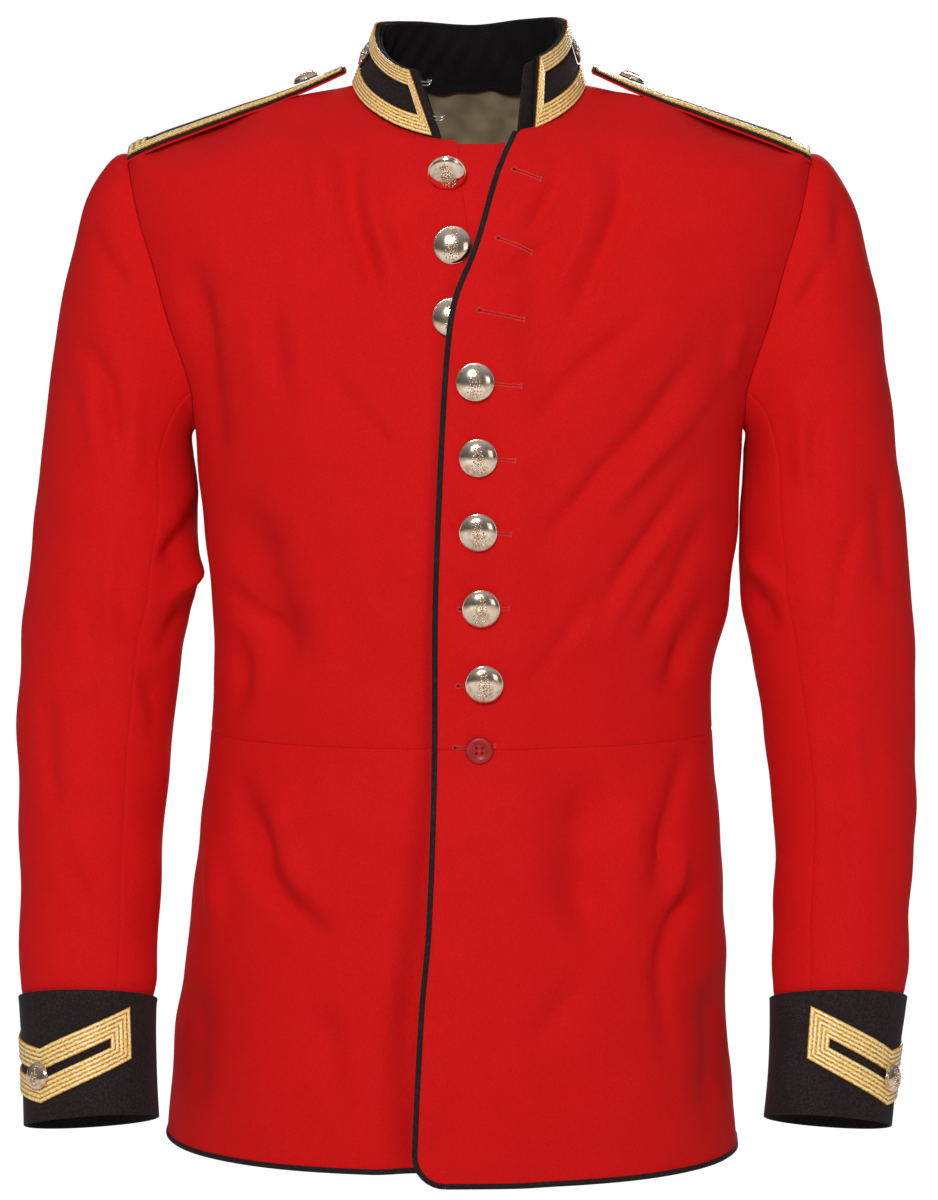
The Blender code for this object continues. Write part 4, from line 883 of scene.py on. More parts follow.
# That press dies away beside the neck, beside the armhole, and over a run above its lowest height.
STRAP_FADE_NECK, STRAP_FADE_ARM, STRAP_LOWEST, STRAP_RUN = 0.03, 0.02, -0.1, 0.06
# The bend at the shoulder's height is eased: by how much, over what height, and clear of the armhole.
SOFT_REACH, SOFT_HEIGHT, SOFT_CLEAR = 0.012, 0.028, 0.02


class BodyForm:
    """The surface that the body's panels lie on, by an angle from the front and a height."""

    def __init__(self) -> None:
        """Makes the form's curves and its folds."""
        self.half, self.front, self.back, self.centre = column_curves(BODY_SECTIONS)
        self.armhole_width = Curve(*zip(*ARMHOLE_WIDTHS))
        self.edge = Curve(*zip(*FRONT_EDGE))
        self.underlap = Curve(*zip(*UNDERLAP_SEAM))
        self.turn_depth, self.turn_width = column_curves(TURN_IN)
        turns = np.linspace(-180, 180, 73)
        seams = [self.armhole_point(turns, side) for side in Side]
        around = np.linspace(-180, 180, 60)
        seams.append(self.surface(self.neck_angle(around), self.neck_height(around)))
        self.folds = Folds(BODY_CREASES, BACK_CREASES, 2.0, np.vstack(seams), 0.014)

    def armhole_reach(self, z: Array) -> Array:
        """How far the armhole's front edge stands off the shoulder line."""
        middle, half = (ARMHOLE_TOP + ARMHOLE_BOTTOM) / 2, (ARMHOLE_TOP - ARMHOLE_BOTTOM) / 2
        return ARMHOLE_FRONT * np.sqrt(np.maximum(0.0, 1 - ((z - middle) / half) ** 2))

    def width(self, z: Array) -> Array:
        """Half width of a section: beside the armhole it follows the armhole's seam."""
        reach = self.armhole_reach(z) / self.front(z)
        beside = self.armhole_width(z) / (1 - reach ** SECTION_POWER) ** (1 / SECTION_POWER)
        return np.where((z > ARMHOLE_BOTTOM) & (z < ARMHOLE_TOP), beside, self.half(z))

    def surface(self, angle: Array, z: Array) -> Array:
        """Points of the form; the angle is in radians, positive to +X."""
        angle, z = np.asarray(angle, float), np.asarray(z, float)
        depth = np.where(np.cos(angle) > 0, self.front(z), self.back(z))
        across = np.abs(np.sin(angle)) / self.width(z)
        forward = np.abs(np.cos(angle)) / depth
        radius = (across ** SECTION_POWER + forward ** SECTION_POWER) ** (-1 / SECTION_POWER)
        return vectors(self.centre(z) + radius * np.sin(angle), -radius * np.cos(angle), z)

    def dressed(self, angle: Array, z: Array, out: float | Array = 0.0) -> Faced:
        """Points off the folded cloth, and the form's normals."""
        points, normals = surface_frame(self.softened, np.asarray(angle, float), np.asarray(z, float))
        height = self.folds.press(points, normals) + out
        points[..., 2] -= self.strap_press(points)
        return points + normals * height[..., None], normals

    def softened(self, angle: Array, z: Array) -> Array:
        """Points of the form, its bend at the shoulder's height eased away from the armhole."""
        points = self.surface(angle, z)
        gap = self.armhole_width(np.minimum(z, ARMHOLE_TOP)) - np.abs(points[..., 0])
        reach = SOFT_REACH * ease(1 - np.abs(z - ARMHOLE_TOP) / SOFT_HEIGHT) * ease(gap / SOFT_CLEAR)
        return (self.surface(angle, z - reach) + 2 * points + self.surface(angle, z + reach)) / 4

    def turn_in(self, x: Array, z: Array) -> Array:
        """How far the right front and its skirt turn in beside the left front's edge."""
        depth, width = self.turn_depth(z), self.turn_width(z)
        return depth * ease(1 + (x - self.edge(z)) / width)

    def strap_press(self, points: Array) -> Array:
        """How far the shoulder is pressed down under the front half of its strap."""
        start, full, end = STRAP_REACH
        inward = ease((FILL_START - np.abs(points[..., 0])) / (FILL_START - FILL_END))
        depth = blend(STRAP_PRESS, STRAP_FILL, inward)
        ahead = -points[..., 1]
        fore = ease((ahead - start) / (full - start)) * ease((end - ahead) / (end - full))
        inside = ease((np.abs(points[..., 0]) - NECK_WIDTH) / STRAP_FADE_NECK)
        gap = np.abs(points[..., 0]) - self.armhole_width(np.minimum(points[..., 2], ARMHOLE_TOP))
        above = ease((points[..., 2] - STRAP_LOWEST) / STRAP_RUN)
        return depth * fore * inside * ease(-gap / STRAP_FADE_ARM) * above

    def front_angle(self, x: Array, z: Array) -> Array:
        """Angle of the front at a distance from the centre line."""
        x, z = np.asarray(x, float), np.asarray(z, float)
        across = np.minimum(np.abs(x - self.centre(z)) / self.width(z), 1.0)
        forward = self.front(z) * (1 - across ** SECTION_POWER) ** (1 / SECTION_POWER)
        return np.arctan2(x - self.centre(z), forward)

    def neck_height(self, turn: Array) -> Array:
        """Height of the neckline at an angle in degrees from the front."""
        return -NECK_DROP * np.maximum(0.0, np.cos(np.radians(turn))) ** NECK_POWER

    def neck_angle(self, turn: Array) -> Array:
        """The body angle of the neckline at an angle in degrees from the front."""
        turn = np.asarray(turn, float)
        ahead = self.front_angle(NECK_WIDTH * np.sin(np.radians(turn)), self.neck_height(turn))
        return np.where(np.abs(turn) >= 90, np.radians(turn), ahead)

    def armhole_height(self, turn: Array) -> Array:
        """Height of the armhole's seam, turn degrees round it from its top."""
        middle, half = (ARMHOLE_TOP + ARMHOLE_BOTTOM) / 2, (ARMHOLE_TOP - ARMHOLE_BOTTOM) / 2
        return middle + half * np.cos(np.radians(turn))

    def armhole_angle(self, turn: Array, front: bool) -> Array:
        """Body angle, positive, of the armhole's seam."""
        z = self.armhole_height(turn)
        reach = self.armhole_reach(z)
        if not front:
            reach = -reach * self.back(z) / self.front(z)
        return np.arctan2(self.armhole_width(z), reach)

    def armhole_point(self, turn: Array, side: Side) -> Array:
        """Points of the armhole's seam; turn is in degrees from its top by the front."""
        z = self.armhole_height(turn)
        reach = self.armhole_reach(z)
        reach = np.where(np.sin(np.radians(turn)) < 0, -reach * self.back(z) / self.front(z), reach)
        return vectors(side.value * self.armhole_width(z), -reach, z)

    def side_angle(self, z: Array) -> Array:
        """Body angle, positive, of the side seam."""
        return np.radians(90 + SIDE_SEAM_TURN * ease((ARMHOLE_BOTTOM - z) / SIDE_SEAM_RUN))

    def seam_trim(self, z: Array, angle: Array) -> Array:
        """Angle that leaves room for a seam."""
        reach = np.linalg.norm(self.surface(angle, z)[..., :2], axis=-1)
        return GAP / 2 / np.maximum(reach, 0.03)

    def lap(self, x: Array, z: Array) -> Array:
        """How far the left front stands off the form."""
        fade = 1 - ease((x - LAP_START) / (LAP_END - LAP_START))
        across = (x - RIDE_CENTRE[0]) / RIDE_REACH[0]
        along = (z - RIDE_CENTRE[1]) / RIDE_REACH[1]
        ride = RIDE_HEIGHT * np.where(x > RIDE_CENTRE[0], ease(1.5 - across), 1.0)
        return LAP * fade + ride * fade * np.exp(-RIDE_FALL * along ** 2)

    def on_left(self, x: Array, z: Array, out: float | Array = 0.0) -> Faced:
        """Points off the left front's face at distances from the centre, and their normals."""
        return self.dressed(self.front_angle(x, z), z, self.lap(np.asarray(x, float), z) + out)

    def layer(self, front: Side | None, angle: Array, z: Array) -> Array:
        """How far a front or its skirt stands off the form; a back stands at 0."""
        x = self.surface(angle, z)[..., 0]
        if front is Side.LEFT:
            return self.lap(x, z)
        return np.zeros(x.shape) if front is None else -self.turn_in(x, z)

    def panel(self, angle: Array, z: Array, edges: Sequence[Edge], front: Side | None = None,
            inward: float = 0.0, wall: float = CLOTH) -> Slab:
        """A panel of the body.

        Args:
            angle: grid of body angles.
            z: grid of heights.
            edges: finish of its four edges.
            front: the side, if it is a front or its skirt.
            inward: how far below the form it lies.
            wall: its thickness.

        Returns:
            The slab.
        """
        points, normals = self.dressed(angle, z, self.layer(front, angle, z) - inward)
        return Slab.wrap(points, normals, wall, edges)


@dataclass
class Maker:
    """What makes a sub-assembly: the body's form that it lies on, and where its pieces go."""

    body: BodyForm
    wardrobe: Wardrobe


# --- fronts, backs and skirts
@dataclass
class Bodice(Maker):
    """The fronts, the backs, the underlap and the satin inside the neck."""

    # Height of a front's inner edge, by degrees round the armhole, once past the neck.
    front_rows: Points = ((105, -0.06), (120, -0.09), (135, -0.122), (150, -0.155), (165, -0.19),
        (180, -0.225))
    back_rows: Points = ((75, 0.0), (90, -0.025), (105, -0.055), (120, -0.09), (135, -0.125),
        (150, -0.16), (165, -0.193), (180, -0.225))
    back_neck_turn: float = 75.0  # of the armhole, where a back's rows reach the centre seam
    runs: tuple = (0.24, 0.21, 0.24)  # usual sizes for the grid: armhole, below it, across
    lining_share: float = 4 / 7  # of the back's width
    lining_turn: float = 135.0
    lining_wall: float = 0.001
    lining_past: float = 0.03  # its seam lies beside the back's: radians round the body
    underlap_run: tuple = (0.025, 0.004)  # its width and its grid's pitch
    below: float = 181.0  # stands for a turn past the armhole

    def __post_init__(self) -> None:
        """Works out the grid's rows."""
        armhole, lower, across = self.runs
        self.turns = stations(armhole, fine=(True, False)) * 180
        self.falls = stations(lower, fine=(False, True))[1:]
        self.across = stations(across)

    def grid(self, inner: tuple[Array, Array], outer: tuple[Array, Array], sign: int,
            share: float = 1.0) -> tuple[Array, Array]:
        """Angles and heights between two edges, each given as (angles, heights) by row."""
        t = self.across[None] * share
        angle = blend(inner[0][:, None], sign * outer[0][:, None], t)
        return angle, blend(inner[1][:, None], outer[1][:, None], t)

    def outer_edge(self, front: bool) -> tuple[Array, Array]:
        """The armhole's edge, then the side seam, as angles and heights."""
        lower = blend(ARMHOLE_BOTTOM, WAIST, self.falls)
        angles = [self.body.armhole_angle(self.turns, front), self.body.side_angle(lower)]
        heights = np.concatenate([self.body.armhole_height(self.turns), lower])
        angles = np.concatenate(angles)
        trim = self.body.seam_trim(heights, angles)
        return angles - trim if front else angles + trim, heights

    def inner_heights(self, side: Side) -> Array:
        """Heights of a front's neckline and front edge, by row."""
        corner = NECK_CORNERS[side]
        neck = self.body.neck_height(blend(90.0, corner, self.turns / 90))
        below = Curve(*zip((90, float(self.body.neck_height(corner))), *self.front_rows))
        upper = np.where(self.turns <= 90, neck, below(self.turns))
        return np.concatenate([upper, blend(self.front_rows[-1][1], WAIST, self.falls)])

    def make_front(self, side: Side) -> None:
        """A front, from the shoulder seam and neckline to the waist seam."""
        form, sign = self.body, side.value
        z = self.inner_heights(side)
        turns = np.concatenate([self.turns, np.full(len(self.falls), self.below)])
        neck = form.neck_angle(blend(90.0, NECK_CORNERS[side], np.minimum(turns, 90) / 90)) * sign
        if side is Side.LEFT:
            edge = form.front_angle(form.edge(z) + PIPING_WIDTH / 2 + GAP, z)
        else:
            edge = form.front_angle(form.underlap(z), z) - form.seam_trim(z, np.zeros_like(z))
        angles = np.where(turns <= 90, neck, edge)
        angles[0] -= sign * form.seam_trim(z[:1], np.full(1, math.pi / 2))[0]
        z[-1] += GAP / 2
        outer = self.outer_edge(True)
        outer[1][-1] += GAP / 2
        angle, height = self.grid((angles, z), outer, sign)
        edges = (Edge.SEWN, Edge.SEWN, Edge.SET if side is Side.LEFT else Edge.SEWN, Edge.SET)
        trims = ("piping_edge_cord", "buttonhole_stitches", "buttonhole_slits") if side is Side.LEFT else ()
        self.wardrobe.add_cloth("front_" + side.word, form.panel(angle, height, edges, side), SCARLET,
            "back_" + side.word, "collar_stand", trims=trims)

    def back_edges(self, past: float = 0.0) -> tuple[Array, Array]:
        """A back's neckline and centre seam, as angles and heights; it may reach past the centre."""
        turns = np.concatenate([self.turns, np.full(len(self.falls), self.below)])
        neck = np.radians(blend(90.0, 180.0, np.minimum(turns / self.back_neck_turn, 1.0)))
        rows = Curve(*zip(*self.back_rows))
        upper = np.where(self.turns <= self.back_neck_turn, 0.0, rows(self.turns))
        z = np.concatenate([upper, blend(self.back_rows[-1][1], WAIST, self.falls)])
        neck[0] += self.body.seam_trim(z[:1], np.full(1, math.pi / 2))[0]
        centre = math.pi + past - self.body.seam_trim(z, np.full_like(z, math.pi))
        return np.where(turns >= self.back_neck_turn, centre, np.minimum(neck, centre)), z

    def make_back(self, side: Side) -> None:
        """A back half, from the shoulder seam and neckline to the waist seam."""
        angles, z = self.back_edges()
        outer = self.outer_edge(False)
        z[-1] += GAP / 2
        outer[1][-1] += GAP / 2
        angle, height = self.grid((angles * side.value, z), outer, side.value)
        slab = self.body.panel(angle, height, (Edge.SEWN, Edge.SEWN, Edge.SEWN, Edge.SET))
        self.wardrobe.add_cloth("back_" + side.word, slab, SCARLET, "collar_stand")

    def make_neck_lining(self, side: Side) -> None:
        """The satin inside the back of the neck, under half of the back."""
        angles, z = self.back_edges(-self.lining_past * side.value)
        rows = np.concatenate([self.turns <= self.lining_turn, np.zeros(len(self.falls), bool)])
        outer = self.outer_edge(False)
        angle, height = self.grid((angles * side.value, z), outer, side.value, self.lining_share)
        slab = self.body.panel(angle[rows], height[rows], (Edge.PLAIN,) * 4, inward=CLOTH + SEAM,
            wall=self.lining_wall)
        self.wardrobe.add_cloth("neck_lining_" + side.word, slab, LINING_SATIN, "back_" + side.word)

    def make_underlap(self) -> None:
        """The right front's button stand, under the left front."""
        form = self.body
        heights = self.inner_heights(Side.RIGHT)
        rows = np.concatenate([self.turns >= 90, np.ones(len(self.falls), bool)])
        z = np.maximum(heights[rows], WAIST + GAP / 2)
        left = form.front_angle(form.underlap(z), z) + form.seam_trim(z, np.zeros_like(z))
        right = form.front_angle(np.full_like(z, UNDERLAP_EDGE), z)
        t = stations(*self.underlap_run)
        angle = blend(left[:, None], right[:, None], t[None])
        edges = (Edge.SEWN, Edge.SEWN, Edge.SEWN, Edge.FREE)
        slab = form.panel(angle, np.repeat(z[:, None], len(t), 1), edges, Side.RIGHT)
        self.wardrobe.add_cloth("front_underlap", slab, SCARLET, "front_right")


@dataclass
class Skirt(Maker):
    """The four skirt panels, and the piping of the hem and of the left front's edge."""

    corner: float = HEM_CORNER - PIPING_WIDTH - GAP  # radius of the panel's own corner
    cord_corner: float = HEM_CORNER - PIPING_WIDTH / 2
    cord: tuple = (PIPING_WIDTH * 0.57, 0.0017, 14)  # half width, half depth, sides
    cord_sink: float = 0.0008  # its middle, below the cloth's face
    cord_pitch: float = 0.0025
    hem_steps: int = 110
    corner_steps: int = 9
    run: float = 0.27  # a usual size for the grid, down and across
    back_gap: float = 0.12  # share of the usual gap at the centre back, where light would show

    def __post_init__(self) -> None:
        """Works out the rows' heights."""
        self.turns = np.linspace(0, math.pi / 2, self.corner_steps)
        falls = stations(self.run, fine=(True, False))
        self.straight = len(falls)
        self.heights = {}
        for side, hem in HEM.items():
            upper = blend(WAIST - GAP / 2, hem + HEM_CORNER, falls)
            lower = hem + HEM_CORNER - self.corner * np.sin(self.turns[1:])
            self.heights[side] = np.concatenate([upper, lower])

    @staticmethod
    def level(left: Array | float, right: Array | float, angle: Array, side: Side) -> Array:
        """A height of the skirt: one for each front, and the back joins the two."""
        share = ease((np.abs(angle) - math.pi / 2) / (math.pi / 2)) / 2
        if side is Side.RIGHT:
            share = 1 - share
        return blend(left, right, share)

    def corner_x(self, radius: float, turn: Array) -> Array:
        """Distance from the centre line on an arc of the left front's lower corner."""
        middle = self.body.edge(HEM[Side.LEFT] + HEM_CORNER) - PIPING_WIDTH / 2 + HEM_CORNER
        return middle - radius * np.cos(turn)

    def make_panel(self, side: Side, front: bool) -> None:
        """A skirt panel, from the waist seam to the hem's piping."""
        form, sign = self.body, side.value
        z = self.heights[side]
        seam = form.side_angle(z)
        trim = form.seam_trim(z, np.full_like(z, math.pi / 2))
        if not front:
            inner = math.pi - form.seam_trim(z, np.full_like(z, math.pi)) * self.back_gap
            outer = seam + trim
        elif side is Side.RIGHT:
            inner = -form.front_angle(np.full_like(z, UNDERLAP_EDGE), z)
            outer = seam - trim
        else:
            x = form.edge(z) + PIPING_WIDTH / 2 + GAP
            x[self.straight:] = self.corner_x(self.corner, self.turns[1:])
            inner = form.front_angle(x, z)
            outer = seam - trim
        across = stations(self.run)
        angle = blend(inner[:, None], outer[:, None], across[None]) * sign
        left, right = (self.heights[key][:, None] for key in (Side.LEFT, Side.RIGHT))
        height = self.level(left, right, angle, side)
        inner_edge = Edge.SET if front else Edge.SEWN
        slab = form.panel(angle, height, (Edge.SEWN, Edge.SET, inner_edge, Edge.SEWN),
            side if front else None)
        half = "%s_%s" % ("front" if front else "back", side.word)
        self.wardrobe.add_cloth("skirt_" + half, slab, SCARLET, half, trims=("piping_hem_%s_cord" % half,))

    def make_cord(self, node: str, path: Array, normals: Array) -> None:
        """One length of piping."""
        middle = path - normals * self.cord_sink
        self.wardrobe.add_shape(node + "_cord", sweep(middle, normals, *self.cord), BLACK_WOOL, node)

    def make_edge_piping(self) -> None:
        """Down the left front's edge from the neck, and round its lower corner."""
        start = float(self.body.neck_height(NECK_CORNERS[Side.LEFT])) - PIPING_WIDTH / 3
        corner = HEM[Side.LEFT] + HEM_CORNER
        z = np.linspace(start, corner, round((start - corner) / self.cord_pitch))
        low = corner - self.cord_corner * np.sin(self.turns[1:])
        x = np.concatenate([self.body.edge(z), self.corner_x(self.cord_corner, self.turns[1:])])
        self.make_cord("piping_edge", *self.body.on_left(x, np.concatenate([z, low])))

    def make_hem_piping(self, side: Side, front: bool) -> None:
        """Along the hem of one panel."""
        form, sign = self.body, side.value
        z = HEM[side] + PIPING_WIDTH / 2
        trim = float(form.seam_trim(z, math.pi / 2))
        seam = float(form.side_angle(z))
        if front and side is Side.LEFT:
            start = float(form.front_angle(self.corner_x(0.0, math.pi / 2) + GAP, z))
        elif front:
            start = -float(form.front_angle(UNDERLAP_EDGE, z))
        else:
            start = seam + trim
        end = seam - trim if front else math.pi - trim
        angle = np.linspace(start, end, self.hem_steps) * sign
        height = self.level(HEM[Side.LEFT], HEM[Side.RIGHT], angle, side) + PIPING_WIDTH / 2
        off = form.layer(side if front else None, angle, height)
        part = "front" if front else "back"
        self.make_cord("piping_hem_%s_%s" % (part, side.word), *form.dressed(angle, height, off))


# --- sleeves and cuffs
# Middle's height, outer side, inner side, depth, distance to the front, forward tilt in
# degrees, and how much nearer to the body the left sleeve's two sides hang.
SLEEVE_SECTIONS = ((-0.255, 0.2944, 0.1898, 0.125, -0.004, 0.0, 0.0005, 0.0),
    (-0.3, 0.299, 0.185, 0.124, -0.002, 1.0, -0.001, -0.001),
    (-0.345, 0.3042, 0.1885, 0.121, 0.002, 3.0, -0.0005, 0.0022),
    (-0.39, 0.3085, 0.1978, 0.117, 0.007, 7.0, 0.0012, 0.004),
    (-0.44, 0.3106, 0.2029, 0.11, 0.018, 12.0, 0.0041, 0.0006),
    (-0.5, 0.3084, 0.2083, 0.101, 0.034, 16.0, 0.003, -0.0012),
    (-0.56, 0.3068, 0.2114, 0.092, 0.053, 18.0, 0.0055, 0.0039),
    (-0.602, 0.3057, 0.2124, 0.084, 0.066, 18.0, 0.0075, 0.0054),
    (-0.624, 0.3029, 0.2152, 0.077, 0.073, 18.0, 0.0088, 0.0081),
    (-0.662, 0.2995, 0.214, 0.075, 0.085, 18.0, 0.0122, 0.0088),
    (-0.705, 0.2984, 0.2119, 0.074, 0.098, 18.0, 0.0155, 0.0108))
SLEEVE_ARMPIT, SLEEVE_END = -0.255, -0.646
SLEEVE_FRONT_SEAM = (135.0, 120.0)  # degrees from the outer side, at armhole and below
SLEEVE_BACK_SEAM = 240.0
SEAM_DRIFT = 0.1  # how far below the armpit the front seam has reached its place
CAP_LEAVE = {"under": (0.8, -0.6), "top": (1.0, 0.12)}  # its slope at the armhole: out, up
CAP_LEAN = 0.25  # and towards the front at the front
CAP_HANDLES = (0.25, 0.15)  # how far that slope carries: under, top
CAP_DRAW = {Side.RIGHT: 0.012, Side.LEFT: 0.0095}
CAP_RISE = 0.45
SLEEVE_RADIUS = 0.055
TUCK = 0.0004  # how far the sleeve's end is drawn in, inside the cuff
CUFF_TOP, CUFF_END = -0.6168, -0.698
CUFF_OUT = 0.0028  # its face, off the sleeve's line
CUFF_SKEW = (0.0004, 0.003)  # taller on its outer side, above and below
CUFF_LEAN = 18.0  # degrees its end tilts forward
LACE_ROOM = 0.0004


class SleeveForm:
    """One sleeve's tube and head."""

    def __init__(self, side: Side, body: BodyForm) -> None:
        """Makes the sleeve's curves and its folds."""
        self.side = side
        self.body = body
        self.curves = column_curves(SLEEVE_SECTIONS)
        turns = np.linspace(0, 360, 73)
        seam = body.armhole_point(turns, side)
        wrist = self.ring(np.radians(turns), np.full(73, CUFF_TOP))
        self.folds = Folds(SLEEVE_CREASES, SLEEVE_BACK_CREASES, 1.8, np.vstack([seam, wrist]), 0.02,
            ripple=0.0007, seed=11 + side.value)

    def ring(self, turn: Array, z: Array) -> Array:
        """Points of the tube; turn is in radians from its outer side by the front."""
        turn, z = np.asarray(turn, float), np.asarray(z, float)
        outer, inner, depth, forward, tilt, outer_in, inner_in = (curve(z) for curve in self.curves)
        if self.side is Side.LEFT:
            outer, inner = outer - outer_in, inner - inner_in
        x = (outer + inner) / 2 + (outer - inner) / 2 * np.cos(turn)
        reach = depth / 2 * np.sin(turn)
        lean = np.radians(tilt)
        return vectors(self.side.value * x, -forward - reach * np.cos(lean), z + reach * np.sin(lean))

    def cap(self, turn: Array, t: Array) -> Array:
        """Points of the head, from the armhole's seam (t 0) to the tube's first ring (1)."""
        sign = self.side.value
        turn, t = np.broadcast_arrays(np.asarray(turn, float), np.asarray(t, float))
        start = self.body.armhole_point(np.degrees((turn + math.pi) % (2 * math.pi) - math.pi), self.side)
        end = self.ring(turn, np.full_like(turn, SLEEVE_ARMPIT))
        top = (1 + np.cos(turn)) / 2
        span = np.linalg.norm(end - start, axis=-1)[..., None]
        out, up = (blend(low, high, top) for low, high in zip(CAP_LEAVE["under"], CAP_LEAVE["top"]))
        leave = unit(vectors(sign * out, -CAP_LEAN * np.sin(turn), up))
        start = start + leave * GAP * 2
        first = start + leave * span * blend(*CAP_HANDLES, top)[..., None]
        second = end + vectors(-sign * CAP_DRAW[self.side] * top, 0 * top, span[..., 0] * CAP_RISE)
        t = t[..., None]
        s = 1 - t
        return start * s ** 3 + first * 3 * s * s * t + second * 3 * s * t * t + end * t ** 3

    @staticmethod
    def seam_shift(turn: Array, fall: Array) -> Array:
        """Turns the points so that the front seam drifts below the armhole."""
        at_armhole, below = (math.radians(angle) for angle in SLEEVE_FRONT_SEAM)
        moved = blend(at_armhole, below, ease(fall))
        turn = turn % (2 * math.pi)
        back = math.radians(SLEEVE_BACK_SEAM)
        under = blend(moved, back, (turn - at_armhole) / (back - at_armhole))
        return np.where(turn <= at_armhole, turn * moved / at_armhole, np.where(turn >= back, turn, under))

    def head(self, turn: Array, t: Array) -> Array:
        """The head as the pieces are cut."""
        return self.cap(self.seam_shift(turn, t / 2), t)

    def tube(self, turn: Array, z: Array) -> Array:
        """The tube as the pieces are cut."""
        drift = ease((SLEEVE_ARMPIT - z) / SEAM_DRIFT)
        return self.ring(self.seam_shift(turn, blend(0.5, 1.0, drift)), z)

    def cuff(self, turn: Array, rise: Array) -> Array:
        """The cuff's line, from its end (rise 0) to its top (1)."""
        low = CUFF_END - CUFF_SKEW[1] * np.cos(turn)
        high = CUFF_TOP + CUFF_SKEW[0] * np.cos(turn)
        return self.ring(turn, blend(low, high, rise))


class Lace:
    """How a band of gold lace is ribbed: five ribs across each band."""

    BASE = 0.0009
    RIB = 0.0006
    RIBS = 5
    POINTS = 5  # grid lines to a rib
    INSIDE = 0.999  # share of the way across a band at which it stops

    @classmethod
    def rows(cls, band: float) -> Array:
        """Grid lines across a band."""
        return np.linspace(0, band, cls.RIBS * cls.POINTS + 1)

    @classmethod
    def ribs(cls, share: Array) -> Array:
        """Height of the ribs, 0 to 1, at shares of the way across a band."""
        wave = 0.5 - 0.5 * np.cos(2 * math.pi * cls.RIBS * np.clip(share, 0, 1))
        return wave ** 0.8

    @classmethod
    def slab(cls, points: Array, out: Array, share: Array, rib: Array, thick: Array) -> Slab:
        """A length of lace.

        Args:
            points: of its ribbed face.
            out: the outward directions.
            share: how far across its bands each point lies; past them there is no lace.
            rib: how high the ribs stand, 0 to 1.
            thick: its thickness.

        Returns:
            The slab, its back flat.
        """
        middle = (share[1:, 1:] + share[:-1, :-1]) / 2
        return Slab(points, points - out * thick[..., None], keep=middle < cls.INSIDE, relief=rib)


